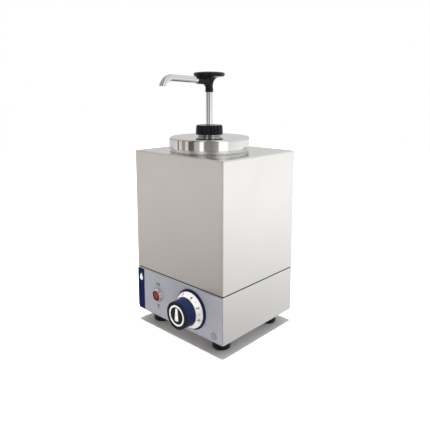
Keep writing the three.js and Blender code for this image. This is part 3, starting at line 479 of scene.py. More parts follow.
def vary_colour(tree, shader, value, colour, darkest, lightest):
    """Drives the base colour between two shades of a colour."""
    shades = {"A": (*shade(colour, darkest), 1), "B": (*shade(colour, lightest), 1)}
    mix = add_node(tree, "Mix", {"Factor": spread(tree, value, 0, 1), **shades}, data_type="RGBA")
    tree.links.new(mix.outputs["Result"], shader.inputs["Base Color"])


def vary_roughness(tree, shader, value, low, high):
    """Drives the roughness between two values."""
    tree.links.new(spread(tree, value, low, high), shader.inputs["Roughness"])


def emboss(tree, shader, value, strength, distance):
    """Bumps the surface by a value, to a depth in millimetres."""
    bump = add_node(tree, "Bump", {"Height": value, "Strength": strength, "Distance": distance * MM})
    tree.links.new(bump.outputs["Normal"], shader.inputs["Normal"])


def shade(colour, factor):
    """A colour made darker or lighter."""
    return tuple(channel * factor for channel in colour)


def brushed_metal(name, colour, roughness, grain, anisotropy, depth):
    """Brushed sheet or turned metal: fine grain along one way, broad smears of handling."""
    low, high = roughness
    material, tree, shader = new_material(name, colour, low, 1.0)
    shader.inputs["Anisotropic"].default_value = anisotropy
    tangent = add_node(tree, "Tangent", direction_type="RADIAL", axis="Z")
    tree.links.new(tangent.outputs["Tangent"], shader.inputs["Tangent"])
    lines = noise(tree, grain, 5)
    smears = noise(tree, SMEAR_SCALE, 4, 0.6)
    mixed = arithmetic(tree, "ADD", lines, smears)
    vary_roughness(tree, shader, arithmetic(tree, "MULTIPLY", mixed, 0.5), low, high)
    vary_colour(tree, shader, lines, colour, 0.965, 1)
    emboss(tree, shader, lines, 0.04 * depth, 0.02)
    return material


def moulded(name, colour, roughness, grain_size, depth, gloss, darkest=0.88, lightest=1.1):
    """Moulded plastic or rubber: a fine spark grain, faint flow marks and rubbed patches."""
    low, high = roughness
    material, tree, shader = new_material(name, colour, low)
    shader.inputs["Specular IOR Level"].default_value = gloss
    frequency = 1 / (grain_size * MM)
    grain = noise(tree, (frequency, frequency, frequency), 2)
    patches = noise(tree, PATCH_SCALE, 4, 0.8)
    vary_roughness(tree, shader, patches, low, high)
    vary_colour(tree, shader, patches, colour, darkest, lightest)
    emboss(tree, shader, grain, depth, 0.05)
    return material


def printed_foil():
    """Printed polyester foil over a fine texture, with a few scuffs."""
    colour = (0.325, 0.33, 0.38)
    material, tree, shader = new_material("panel_foil", colour, 0.42)
    texture = noise(tree, (2400, 2400, 2400), 2)
    scuffs = noise(tree, (40, 40, 160), 5, 1.2)
    vary_roughness(tree, shader, scuffs, 0.34, 0.5)
    vary_colour(tree, shader, scuffs, colour, 0.95, 1.05)
    emboss(tree, shader, texture, 0.08, 0.03)
    return material


def lens_plastic():
    """Clear red plastic with moulded flutes inside, seen unlit."""
    colour = (0.235, 0.014, 0.001)
    material, tree, shader = new_material("red_lens", colour, 0.12)
    shader.inputs["Coat Weight"].default_value = 0.1
    shader.inputs["Coat Roughness"].default_value = 0.04
    flutes = noise(tree, (900, 900, 900), 1)
    depth = noise(tree, (180, 180, 180), 3)
    vary_colour(tree, shader, depth, colour, 0.65, 1.25)
    vary_roughness(tree, shader, depth, 0.08, 0.2)
    emboss(tree, shader, flutes, 0.12, 0.1)
    return material


def milky_silicone():
    """Soft translucent silicone."""
    colour = (0.7, 0.67, 0.6)
    material, tree, shader = new_material("clear_silicone", colour, 0.45)
    shader.inputs["Subsurface Weight"].default_value = 0.4
    shader.inputs["Subsurface Radius"].default_value = (0.003, 0.0025, 0.002)
    patches = noise(tree, (90, 90, 90), 3)
    vary_roughness(tree, shader, patches, 0.35, 0.6)
    vary_colour(tree, shader, patches, colour, 0.92, 1)
    emboss(tree, shader, noise(tree, (1500, 1500, 1500), 2), 0.1, 0.05)
    return material


def wool_blanket():
    """A blanket of felted mineral fibre."""
    colour = (0.66, 0.62, 0.5)
    material, tree, shader = new_material("mineral_wool", colour, 0.95)
    fibres = noise(tree, (700, 700, 160), 6, 2.5)
    vary_colour(tree, shader, fibres, colour, 0.6, 1.1)
    vary_roughness(tree, shader, fibres, 0.85, 1.0)
    emboss(tree, shader, fibres, 0.7, 0.8)
    return material


def make_materials():
    """All the object's materials, by name."""
    metals = {name: brushed_metal(name, *look) for name, look in METALS.items()}
    plastics = {name: moulded(name, *look) for name, look in PLASTICS.items()}
    others = {
        "panel_foil": printed_foil(),
        "red_lens": lens_plastic(),
        "clear_silicone": milky_silicone(),
        "mineral_wool": wool_blanket(),
    }
    return metals | plastics | others


# Cabinet


def half_sizes(node):
    """Half the width and half the depth of a node, in millimetres."""
    low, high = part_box(node)
    half = (high - low) / 2 / MM
    return half.x, half.y


def box_rings(half_width, half_depth, profile):
    """Rings of a folded box for a profile of (inset, height) points."""
    rings = []
    for inset, height in profile:
        radius = max(CORNER_RADIUS - inset, SHEET / 2)
        rings.append(box_ring(half_width - inset, half_depth - inset, radius, height))
    return rings


def hole_ring(radius, height, offset):
    """A ring round a deck hole, its points in step with those of box_ring."""
    ring = circle(radius, height, LARGE_SIDES, -pi / 4)
    return [point + Vector((0, offset, 0)) for point in ring]


def make_upper_shell():
    """The folded cover: four walls and a deck with a round hole for the well."""
    half_width, half_depth = half_sizes("upper_shell")
    height = rise_of("upper_shell")
    offset = (middle_of("well_pot").y - middle_of("upper_shell").y) / MM
    flange_radius, _ = half_sizes("well_pot")
    hole = flange_radius - WELL_FLANGE_WIDTH + DECK_HOLE_CLEARANCE
    below = height - SHEET
    outside = [(SHEET, 0, 0), (0, 0, HEM), (0, height, FOLD_RADIUS), (RING_INSET, height, 0)]
    inside = [(RING_INSET, below, 0), (SHEET, below, FOLD_RADIUS - SHEET), (SHEET, HEM, 0)]
    rings = box_rings(half_width, half_depth, filleted(outside, False))
    rings += [hole_ring(hole, height, offset), hole_ring(hole, below, offset)]
    rings += box_rings(half_width, half_depth, filleted(inside, False))
    piece = new_object("cabinet_cover", skin_over(rings, True), frame_of("upper_shell", "up"))
    settle(piece, "cabinet", "cabinet_steel", ["upper_shell"], ["cabinet_steel", "deck_steel"])
    paint(piece, 1, lambda centre, normal: normal.z > FACES_UP)


def make_base_shell():
    """The folded base: walls, a lip that the cover sits over, and holes for what is mounted. The lip's
    faces in the seam take dark rubber as painted shade.
    """
    half_width, half_depth = half_sizes("base_shell")
    low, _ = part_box("base_shell")
    foil_low, foil_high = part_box("control_panel_foil")
    margin = foil_low.z - low.z
    top = (foil_high.z + margin - low.z) / MM
    lip_top = rise_of("base_shell")
    inner_lip = SEAM_LIP_INSET + SHEET
    outside = [
        (SHEET, HEM, 0),
        (0, 0, HEM),
        (0, top, SEAM_FOLD_RADIUS),
        (SEAM_LIP_INSET, top, HEM),
        (SEAM_LIP_INSET, lip_top, HEM),
        (inner_lip, lip_top, HEM),
        (inner_lip, top, HEM),
        (RING_INSET, top, 0),
    ]
    below = top - SHEET
    inside = [(RING_INSET, below, 0), (SHEET, below, 0), (SHEET, 2 * HEM, 0)]
    rings = box_rings(half_width, half_depth, filleted(outside, False))
    rings += [hole_ring(WIRING_HOLE_RADIUS, level, 0) for level in (top, below)]
    rings += box_rings(half_width, half_depth, filleted(inside, False))
    piece = new_object("cabinet_base", skin_over(rings, True), frame_of("base_shell", "up"))
    holes = [wall_cutter("power_inlet", "back", rectangle_outline(*INLET_HOLE))]
    holes += [wall_cutter(screw, "back", circle_outline(SCREW_HOLE_RADIUS)) for screw in INLET_SCREWS]
    combine(piece, panel_hole_cutters() + holes, "DIFFERENCE")
    # The lip's faces in the seam take the dark rubber look as painted shade of the seam's shadow line.
    settle(piece, "cabinet", "cabinet_steel", ["base_shell"], ["cabinet_steel", "seal_rubber"])
    middle = middle_of("base_shell")
    seam = low.z + (top - HEM) * MM

    def in_painted_seam_shade(centre, normal):
        """Whether a face lies in the seam, behind the outer walls and above the deck, where dark rubber is
        painted as painted shade.
        """
        behind_side = abs(centre.x - middle.x) / MM < half_width - SEAM_LIP_INSET / 2
        behind_front = abs(centre.y - middle.y) / MM < half_depth - SEAM_LIP_INSET / 2
        return centre.z > seam and behind_side and behind_front

    paint(piece, 1, in_painted_seam_shade)


def circle_outline(radius):
    """A flat circle, in millimetres."""
    return [Vector((point.x, point.y)) for point in circle(radius, 0, MEDIUM_SIDES)]


def rectangle_outline(width, height, radius):
    """A flat rectangle with round corners, in millimetres."""
    return [Vector((p.x, p.y)) for p in box_ring(width / 2, height / 2, radius, 0)]


def prism(outline, bottom, top):
    """A prism over an outline, with its ends closed by a fan."""
    centre = sum(outline, Vector((0, 0))) / len(outline)
    rings = [
        [Vector((*centre, bottom))],
        [Vector((*point, bottom)) for point in outline],
        [Vector((*point, top)) for point in outline],
        [Vector((*centre, top))],
    ]
    return skin_over(rings, False)


def wall_cutter(node, axis, outline):
    """A prism through the wall behind a mounted part."""
    low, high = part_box("base_shell")
    place = frame_of(node, axis)
    place.translation.y = low.y if axis == "front" else high.y
    return new_object("wall_cutter", prism(outline, -2 * SHEET, SHEET), place)


def panel_hole_cutters():
    """Prisms for the holes of the dial's spindle, the lamp and the plug."""
    holes = PANEL_HOLES.items()
    return [wall_cutter(node, "front", circle_outline(radius)) for node, radius in holes]


def make_panel():
    """The printed foil, with its navy strip and its holes."""
    low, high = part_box("control_panel_foil")
    right = (high.x - low.x) / 2 / MM
    top = (high.z - low.z) / 2 / MM
    corners = [
        (right, -top, FOIL_RIGHT_RADIUS),
        (right, top, FOIL_RIGHT_RADIUS),
        (-right, top, FOIL_UPPER_RADIUS),
        (-right, -top, FOIL_LOWER_RADIUS),
    ]
    skin = prism(filleted(corners, True), 0, depth_of("control_panel_foil"))
    piece = new_object("control_panel", skin, frame_of("control_panel_foil", "front"))
    combine(piece, panel_hole_cutters(), "DIFFERENCE")
    edge = low.x + STRIP_WIDTH * MM
    skin = bmesh.new()
    skin.from_mesh(piece.data)
    everything = skin.verts[:] + skin.edges[:] + skin.faces[:]
    bmesh.ops.bisect_plane(skin, geom=everything, plane_co=(edge, 0, 0), plane_no=(1, 0, 0))
    skin.to_mesh(piece.data)
    skin.free()
    settle(piece, "cabinet", "panel_foil", ["control_panel_foil"], ["panel_foil", "navy_ink"])
    paint(piece, 1, lambda centre, normal: centre.x < edge)


def ink_mark(name, outlines, look, x, z):
    """A mark printed on the foil at a place on it: one or more outlines in millimetres."""
    low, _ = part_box("control_panel_foil")
    skin = bmesh.new()
    for outline in outlines:
        merge_into(skin, prism(outline, 0, INK_HEIGHT))
    place = Matrix.Translation((x, low.y, z)) @ Matrix.Rotation(pi / 2, 4, "X")
    settle(new_object(name, skin, place), "cabinet", "panel_foil", looks=[look])


def bar(x, y, width, height):
    """A bar's outline with rounded ends, in millimetres."""
    corners = [(-1, -1), (1, -1), (1, 1), (-1, 1)]
    radius = BAR_ROUNDNESS * min(width, height)
    flat = [(x + a * width / 2, y + b * height / 2, radius) for a, b in corners]
    return filleted(flat, True)


def make_panel_marks():
    """A drop on the navy strip, three waves above the lamp and three bars of falling width below it."""
    low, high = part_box("control_panel_foil")
    strip = low.x + STRIP_WIDTH / 2 * MM
    ink_mark("strip_drop_mark", [drop()], "white_ink", strip, high.z - DROP_BELOW_EDGE * MM)
    lamp_low, lamp_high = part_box("pilot_lamp_bezel")
    lamp = middle_of("pilot_lamp_bezel")
    waves = [wave(step * SIGN_PITCH) for step in (-1, 0, 1)]
    ink_mark("heat_sign", waves, "black_ink", lamp.x, lamp_high.z + WAVES_ABOVE_LAMP * MM)
    heights = (BAR_PITCH, 0, -BAR_PITCH)
    bars = [bar(0, height, width, SIGN_STROKE) for height, width in zip(heights, BAR_WIDTHS)]
    ink_mark("earth_sign", bars, "black_ink", lamp.x, lamp_low.z - BARS_BELOW_LAMP * MM)


def drop():
    """A round drop's outline with its point up, in millimetres."""
    half_width, half_height = DROP_HALF_SIZE
    outline = []
    for point in circle(1, 0, DROP_SIDES):
        pinch = (1 - point.y) / 2
        outline.append(Vector((half_width * point.x * pinch**DROP_PINCH, half_height * point.y)))
    return outline


def wave(x):
    """A short upright wavy stroke, in millimetres."""
    shares = [step / WAVE_STEPS for step in range(WAVE_STEPS + 1)]
    middle = [Vector((x + WAVE_SWING * sin(2 * pi * s), WAVE_HEIGHT * (s - 0.5))) for s in shares]
    aside = Vector((SIGN_STROKE / 2, 0))
    return [point + aside for point in middle] + [point - aside for point in reversed(middle)]


def make_lamp():
    """The pilot lamp: a chrome bezel, a black ring and a red lens."""
    lamp_bezel = [
        (9.15, 0, 0.1), (12.4, 0, 0.2), (12.4, 1.3, 0.5), (11.0, 1.5, 0.4),
        (10.8, 5.9, 0.9), (9.15, 5.9, 0.5),
    ]
    turned_part("pilot_lamp_bezel", "lamp_bezel", "lamp_chrome", lamp_bezel, "front")
    lamp_body = [
        (0, 0, 0), (8, 0, 0.5), (8, 28.6, 0.1), (8.9, 28.6, 0.1), (8.9, 33.3, 0.5),
        (6.9, 33.3, 0.4), (6.9, 30.5, 0.1), (0, 30.5, 0),
    ]
    turned_part("pilot_lamp_body", "lamp_body", "black_plastic", lamp_body, "front")
    lamp_lens = [(0, 0, 0), (6.8, 0, 0.1), (6.8, 2.9, 0.3), (5.0, 3.9, 1.5), (0, 4.2, 0)]
    turned_part("pilot_lamp_lens", "lamp_lens", "red_lens", lamp_lens, "front")


def make_plug():
    """The snap-in plug in a spare hole of the panel."""
    plug = [
        (0, 0, 0), (3.2, 0, 0.3), (4, 1.2, 0.3), (4, 5.1, 0), (6.5, 5.1, 0.2),
        (6.5, 5.8, 0.4), (4.6, 6.0, 0.4), (4.2, 5.7, 0.3), (0, 5.9, 0),
    ]
    turned_part("blanking_plug", "blanking_plug_cap", "grey_plastic", plug, "front", SMALL_SIDES)


def foot_profile():
    """Half the section of a foot, on the surface it stands on."""
    return [
        (2.3, 9, 0.2), (5.2, 9, 0.3), (5.2, 0, 0.6), (15.8, 0, 2.4), (16.4, 9, 4),
        (16.5, 19, 2), (17, 20.5, 0.8), (17, 24, 0.5), (2.3, 24, 0.3),
    ]


def hexagon_ring(radius, height, sides):
    """A ring of points on a hexagon, in step with those of circle."""
    ring = []
    sector = pi / 3
    for side in range(sides):
        angle = 2 * pi * side / sides
        from_middle = (angle % sector) - sector / 2
        reach = radius * cos(sector / 2) / cos(from_middle)
        ring.append(Vector((reach * cos(angle), reach * sin(angle), height)))
    return ring


def socket_screw(corners, socket_radius, socket_floor, face):
    """A turned screw with a hexagon socket in the end of its head at height face."""
    profile = filleted(corners, False)
    rings = [circle(point.x, point.y, SMALL_SIDES) for point in profile]
    rings.append(hexagon_ring(socket_radius, face, SMALL_SIDES))
    rings.append(hexagon_ring(socket_radius, socket_floor, SMALL_SIDES))
    rings.append([Vector((0, 0, socket_floor))])
    return skin_over(rings, False)


def make_feet():
    """Four rubber feet and the screws up their middles."""
    for place in ("front_left", "front_right", "rear_left", "rear_right"):
        foot = f"foot_{place}"
        turned_part(foot, f"rubber_{foot}", "foot_rubber", foot_profile())
        screw = f"foot_screw_{place}"
        top = rise_of(screw)
        corners = [(0, top, 0), (2, top, 0.4), (2, 3, 0.2), (4.2, 3, 0.3), (4.2, 0.2, 0.6), (3.2, 0, 0)]
        skin = socket_screw(corners, socket_radius=1.8, socket_floor=1.8, face=0)
        stand_in(screw, f"steel_{screw}", "plain_steel", skin)


# Dial


def make_dial():
    """The navy disc on the panel, the white skirt, the navy grip with a black band of painted shade at its
    base, and the black cap.
    """
    dial_disc = [(4, 0, 0.1), (35.6, 0, 0.2), (35.6, 1.4, 0.5), (4, 1.4, 0.2)]
    turned_part("dial_backing_disc", "dial_disc", "navy_plastic", dial_disc, "front", LARGE_SIDES)
    dial_skirt = [
        (5.1, 0, 0.2), (29, 0, 0.3), (29.4, 1.7, 0.5), (32, 1.7, 0.3), (32, 3.7, 0.7),
        (26.1, 11.8, 0.6), (25.4, 11.8, 0.3), (25.2, 11.2, 0.2), (5.1, 11.2, 0.2),
    ]
    turned_part("knob_skirt", "dial_skirt", "scale_white", dial_skirt, "front", LARGE_SIDES)
    dial_grip = [
        (0, 12.9, 0), (3.1, 12.9, 0.2), (3.1, 0, 0.2), (25, 0, 0.3), (25, 1.3, 0.3),
        (24.8, 1.7, 0.3), (24.5, 9, 30), (24.1, 18.6, 0.3), (23.6, 19, 0.2), (0, 19, 0),
    ]
    grip = turned_part("knob_grip", "dial_grip", "navy_plastic", dial_grip, "front", LARGE_SIDES)
    # The grip's band next to the skirt takes black plastic as painted shade of the gap under the grip.
    grip.data.materials.append(materials["black_plastic"])
    _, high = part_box("knob_grip")
    paint(grip, 1, lambda centre, normal: centre.y > high.y - GRIP_SHADOW_GAP * MM)
    dial_cap = [
        (0, 0, 0), (24.2, 0, 0.3), (24.2, 2.2, 1.0), (20.4, 2.2, 0.5), (19.9, 1.7, 0.3),
        (0, 1.7, 0),
    ]
    turned_part("knob_cap", "dial_cap", "black_plastic", dial_cap, "front", LARGE_SIDES)


def make_dial_marks():
    """A white ring and pointer on the cap, and the marks round the skirt."""
    low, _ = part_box("knob_cap")
    middle = middle_of("knob_cap")
    recess = low.y + CAP_RECESS * MM
    place = Matrix.Translation((middle.x, recess, middle.z)) @ Matrix.Rotation(pi / 2, 4, "X")
    height = CAP_MARK_HEIGHT
    ring = ring_section(*CAP_RING_RADII, height, 0, 0)
    piece = new_object("cap_ring_mark", lathe(ring, LARGE_SIDES), place)
    settle(piece, "knob", "black_plastic", looks=["white_ink"])
    piece = new_object("cap_pointer_mark", prism(filleted(CAP_POINTER, True), 0, height), place)
    settle(piece, "knob", "black_plastic", looks=["white_ink"])
    make_skirt_marks()


def on_cone(point, angle):
    """A flat mark's point, in millimetres, laid on the skirt's cone at an angle round it."""
    edge_radius, edge_height, top_radius, top_height = SKIRT_CONE
    slope = atan2(top_height - edge_height, edge_radius - top_radius)
    middle_radius = (edge_radius + top_radius) / 2
    middle_height = (edge_height + top_height) / 2
    radius = middle_radius - point.y * cos(slope) + point.z * sin(slope)
    height = middle_height + point.y * sin(slope) + point.z * cos(slope)
    around = angle - point.x / middle_radius
    return Vector((radius * cos(around), radius * sin(around), height))


def make_skirt_marks():
    """Digits and ticks printed on the skirt."""
    skin = bmesh.new()
    for index, digit in enumerate(DIGITS):
        angle = radians(90 + DIGIT_STEP * (len(DIGITS) / 2 - 0.5 - index))
        add_digit(skin, digit, angle)
        if index:
            tick_angle = angle + radians(DIGIT_STEP / 2)
            tick = prism(bar(0, 0, *TICK_SIZE), 0, INK_HEIGHT)
            for vertex in tick.verts:
                vertex.co = on_cone(vertex.co / MM, tick_angle) * MM
            merge_into(skin, tick)
    bmesh.ops.remove_doubles(skin, verts=skin.verts, dist=WELD_DISTANCE * MM)
    bmesh.ops.recalc_face_normals(skin, faces=skin.faces)
    piece = new_object("dial_scale", skin, frame_of("knob_skirt", "front"))
    settle(piece, "knob", "scale_white", looks=["black_ink"])


def merge_into(skin, part):
    """Adds one bmesh to another and frees it."""
    mesh = bpy.data.meshes.new("part")
    part.to_mesh(mesh)
    part.free()
    skin.from_mesh(mesh)
    bpy.data.meshes.remove(mesh)


def add_digit(skin, digit, angle):
    """Adds one digit, laid on the skirt's cone."""
    curve = bpy.data.curves.new("digit", "FONT")
    curve.body = digit
    curve.size = DIGIT_HEIGHT * FONT_SIZE_PER_HEIGHT
    curve.offset = DIGIT_BOLDNESS
    curve.align_x = "CENTER"
    curve.align_y = "CENTER"
    curve.extrude = INK_HEIGHT / 2
    curve.resolution_u = DIGIT_CURVE_STEPS
    text = bpy.data.objects.new("digit", curve)
    bpy.context.scene.collection.objects.link(text)
    bpy.context.view_layer.update()
    mesh = bpy.data.meshes.new_from_object(text.evaluated_get(bpy.context.evaluated_depsgraph_get()))
    for vertex in mesh.vertices:
        lifted = vertex.co + Vector((0, 0, INK_HEIGHT / 2))
        vertex.co = on_cone(lifted, angle) * MM
    skin.from_mesh(mesh)
    bpy.data.meshes.remove(mesh)
    bpy.data.objects.remove(text)
    bpy.data.curves.remove(curve)


# Mains side


def make_inlet():
    """The appliance inlet: a flange, a body behind it and a deep mouth with three blades."""
    face = depth_of("power_inlet")
    flange_back = face - 3
    profile = [
        (14.3, 10.3, 0.8, 0), (14.5, 10.5, 1, 0.3), (14.5, 10.5, 1, flange_back),
        (24.8, 11.3, 4, flange_back), (25, 11.5, 4, flange_back + 0.3),
        (25, 11.5, 4, face - 0.8), (24.2, 10.7, 3.6, face), (13, 9, 3.4, face),
        (12.2, 8.2, 3, face - 0.8), (12.2, 8.2, 3, face - 17),
    ]
    piece = new_object("appliance_inlet", stepped_block(profile), frame_of("power_inlet", "back"))
    bore = circle_outline(SCREW_HOLE_RADIUS)
    holes = [
        new_object("screw_cutter", prism(bore, -face, 2 * face), frame_of(screw, "back"))
        for screw in INLET_SCREWS
    ]
    combine(piece, holes, "DIFFERENCE")
    settle(piece, "cabinet", "black_plastic", ["power_inlet"], ["inlet_plastic"])
    for pin in ("inlet_pin_live", "inlet_pin_earth", "inlet_pin_neutral"):
        tip = depth_of(pin)
        blade = stepped_block([(1, 2, 0.2, 0), (1, 2, 0.2, tip - 1), (0.6, 1.5, 0.2, tip)])
        stand_in(pin, f"blade_{pin}", "bare_brass", blade, "back")
    for screw in INLET_SCREWS:
        tip = depth_of(screw)
        head = tip - 1.2
        corners = [(0, 0, 0), (1.6, 0, 0.3), (1.6, head, 0.1), (3, head, 0.2), (2.8, tip - 0.3, 0.5)]
        corners.append((1.9, tip, 0))
        skin = socket_screw(corners, socket_radius=1.3, socket_floor=tip - 0.9, face=tip)
        stand_in(screw, f"steel_{screw}", "plain_steel", skin, "back")


def stepped_block(profile):
    """A block with rounded corners through (half width, half height, corner radius, depth) rings."""
    rings = [box_ring(*ring) for ring in profile]
    start, end = profile[0][-1], profile[-1][-1]
    return skin_over([[Vector((0, 0, start))], *rings, [Vector((0, 0, end))]], False)


# Well and container


def make_well():
    """The well pot, and the heater, bulb and blanket on it inside the cabinet."""
    heated_well = [
        (0, 0, 0), (69, 0, 4), (69, 204.1, 0.2), (71.5, 204.1, 0.3), (71.5, 205.3, 0.4),
        (69, 205.3, 0.8), (69, 221.7, 0.6), (67.5, 221.7, 0.6), (67.5, 1.5, 3), (0, 1.5, 0),
    ]
    turned_part("well_pot", "heated_well", "well_steel", heated_well, sides=LARGE_SIDES)
    heater_band = ring_section(69.3, 71.7, 60, 0.3, 0.6)
    turned_part("band_heater", "heater_band", "plain_steel", heater_band, sides=LARGE_SIDES)
    sensor_bulb = [(0, 0, 0), (1.4, 0, 0.9), (1.4, 60, 0.9), (0, 60, 0)]
    turned_part("thermostat_bulb", "sensor_bulb", "plain_steel", sensor_bulb, sides=SMALL_SIDES)
    blanket = ring_section(72.7, 80, 193, 0.5, 2)
    turned_part("insulation_jacket", "insulation_blanket", "mineral_wool", blanket, sides=LARGE_SIDES)


def make_container():
    """The lift-out container with its rolled rim."""
    container = [
        (0, 0, 0), (66, 0, 8), (66, 217.8, 0.6), (70.6, 217.8, 0.7), (70.6, 219.8, 0.9),
        (64.5, 219.8, 0.9), (64.5, 1.5, 6.5), (0, 1.5, 0),
    ]
    turned_part("food_container", "cheese_container", "container_steel", container, sides=LARGE_SIDES)


# Lid and pump


def make_lid():
    """The spun lid, the polished ring round its hole and its gasket."""
    lid_cover = [
        (17.4, 17.7, 0.2), (71.5, 17.7, 2.4), (71.5, 0, 0.3), (73, 0, 0.6), (73, 19.2, 3.4),
        (17.4, 19.2, 0.4),
    ]
    turned_part("lid_shell", "lid_cover", "polished_steel", lid_cover, sides=LARGE_SIDES)
    lid_ring = [
        (17.4, 0, 0.2), (21, 0, 0.3), (21, 1.2, 0.5), (19.6, 2.0, 0.6), (19.8, 3.7, 0.5),
        (17.4, 3.7, 0.2),
    ]
    turned_part("lid_boss_ring", "lid_ring", "polished_steel", lid_ring)
    lid_seal = [(65.5, 0, 0.6), (70.6, 0, 0.8), (70.6, 3.1, 0.6), (65.5, 3.1, 0.6)]
    turned_part("lid_gasket", "lid_seal", "clear_silicone", lid_seal, sides=LARGE_SIDES)


def make_pump():
    """The pump's white cylinder with its foot valve, and its plunger and rod."""
    pump_barrel = [
        (17, 0, 0.4), (20, 0, 0.6), (20, 24, 0.3), (19.4, 24.6, 0.3), (19.4, 192, 0.3),
        (20, 192.6, 0.3), (20, 200.2, 0.8), (25, 200.2, 0.5), (25, 203.6, 0.5),
        (16.3, 203.6, 0.4), (16.6, 224, 0.5), (13, 224, 0.4), (13, 197, 0.6),
        (17, 197, 0.6),
    ]
    turned_part("pump_cylinder", "pump_barrel", "white_plastic", pump_barrel)
    foot_valve = [
        (5, 0, 0.4), (16, 0, 0.8), (20, 4, 0.6), (20, 10.4, 0.3), (16.7, 10.4, 0.2),
        (16.7, 20, 0.5), (8, 20, 0.5), (8, 8, 0.3), (5, 8, 0.5),
    ]
    turned_part("foot_valve_body", "foot_valve", "white_plastic", foot_valve)
    foot_valve_washer = ring_section(16.9, 20, 1.4, 0.4, 0.6)
    turned_part("foot_valve_seal", "foot_valve_washer", "seal_rubber", foot_valve_washer)
    barrel_washer = ring_section(17.2, 25, 2.7, 0.4, 0.6)
    turned_part("cylinder_gasket", "barrel_washer", "clear_silicone", barrel_washer)
    rod_bush = [
        (6.2, 0, 0.4), (12.9, 0, 0.5), (12.9, 14, 0.3), (7.7, 14, 0.2), (7.5, 15.5, 0.5),
        (6.2, 15.5, 0.3),
    ]
    turned_part("rod_guide_bush", "rod_bush", "white_plastic", rod_bush)
    pump_piston = [
        (3.4, 0, 0.4), (16.5, 0, 0.6), (16.5, 4, 0.2), (14.5, 4, 0.2), (14.5, 8, 0.2),
        (16.5, 8, 0.2), (16.5, 12, 0.6), (9, 12, 0.8), (9, 26, 0.5), (6.1, 26, 0.3),
        (6.1, 17.9, 0), (5.4, 17.9, 0), (5.4, 7, 0.2), (3.4, 7, 0.3),
    ]
    turned_part("piston", "pump_piston", "white_plastic", pump_piston)
    piston_ring = ring_section(14.6, 16.9, 3.8, 0.6, 0.9)
    turned_part("piston_seal", "piston_ring", "seal_rubber", piston_ring)
    rod_length = rise_of("piston_rod")
    pump_rod = [
        (4.4, 0, 0.2), (6, 0, 0.5), (6, rod_length - 9, 0.4), (4.9, rod_length - 9, 0.2),
        (4.9, rod_length, 0.5), (3, rod_length, 0.3), (3, rod_length - 11, 0.2),
        (4.4, rod_length - 11, 0.2),
    ]
    turned_part("piston_rod", "pump_rod", "polished_steel", pump_rod)
    for node, name in (("foot_valve_ball", "lower_ball"), ("discharge_valve_ball", "upper_ball")):
        radius = rise_of(node) / 2
        steps = SMALL_SIDES // 2
        arc = [pi * step / steps for step in range(steps + 1)]
        profile = [(radius * sin(a), radius - radius * cos(a)) for a in arc]
        rings = [circle(r, h, SMALL_SIDES) for r, h in profile]
        stand_in(node, name, "polished_steel", skin_over(rings, False))


def make_spring():
    """The return spring, a coil of round wire at the length of its CAD node; the real spring shortens as
    the pump is pressed.
    """
    low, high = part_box("return_spring")
    length = (high.z - low.z) / MM
    coil_radius = (high.x - low.x) / 2 / MM - SPRING_WIRE_RADIUS
    rise = length - 2 * SPRING_WIRE_RADIUS
    steps = SPRING_TURNS * SPRING_STEPS_PER_TURN
    climb = rise / (2 * pi * SPRING_TURNS)
    rings = []
    for step in range(steps + 1):
        angle = 2 * pi * SPRING_TURNS * step / steps
        outward = Vector((cos(angle), sin(angle), 0))
        along = Vector((-coil_radius * sin(angle), coil_radius * cos(angle), climb)).normalized()
        across = along.cross(outward)
        centre = outward * coil_radius + Vector((0, 0, SPRING_WIRE_RADIUS + rise * step / steps))
        ring = []
        for side in range(SPRING_WIRE_SIDES):
            turn = 2 * pi * side / SPRING_WIRE_SIDES
            reach = outward * cos(turn) - across * sin(turn)
            ring.append(centre + SPRING_WIRE_RADIUS * reach)
        rings.append(ring)
    start = Vector((coil_radius, 0, SPRING_WIRE_RADIUS))
    end = start + Vector((0, 0, rise))
    skin = skin_over([[start], *rings, [end]], False)
    spring = stand_in("return_spring", "pump_spring", "plain_steel", skin)
    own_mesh(spring)


def smooth_step(value):
    """Eases from 0 to 1."""
    value = min(max(value, 0), 1)
    return value * value * (3 - 2 * value)


def make_collar():
    """The black collar nut, with ribs that fade into a plain rim and a rounded top."""
    height = rise_of("collar_nut")
    corners = [(24.6, 0, 0.5), (24.3, height / 2, 0), (23.6, height, 2.6), (19, height, 0)]
    levels = [Vector((20, 0)), *filleted(corners, False)]
    refined = [levels[0]]
    for before, after in zip(levels, levels[1:]):
        pieces = max(1, round((after - before).length / COLLAR_STEP))
        refined += [before.lerp(after, (step + 1) / pieces) for step in range(pieces)]
    rings = []
    for point in refined:
        fade_in = smooth_step((point.y - RIB_START) / RIB_FADE)
        fade_out = 1 - smooth_step((point.y - (height - RIB_END_BELOW_TOP)) / RIB_END_FADE)
        depth = COLLAR_RIB_DEPTH * fade_in * fade_out if point.x > RIBS_OUTSIDE else 0
        rings.append(ribbed_ring(point.x, point.y, depth))
    roof = height - COLLAR_ROOF
    bore = [(8, height), (8, roof), (16.95, roof), (16.95, 0)]
    rings += [circle(radius, level, COLLAR_SIDES) for radius, level in bore]
    stand_in("collar_nut", "collar", "black_plastic", skin_over(rings, True))


def ribbed_ring(radius, height, depth):
    """A ring of points with broad ribs and narrow valleys between them."""
    ring = []
    for side in range(COLLAR_SIDES):
        angle = 2 * pi * side / COLLAR_SIDES
        phase = (angle * COLLAR_RIBS / (2 * pi)) % 1
        from_valley = abs(phase - 0.5) * 2
        valley = 1 - smooth_step(from_valley / VALLEY_SHARE)
        reach = radius - depth * valley
        ring.append(Vector((reach * cos(angle), reach * sin(angle), height)))
    return ring


# Spout and handle


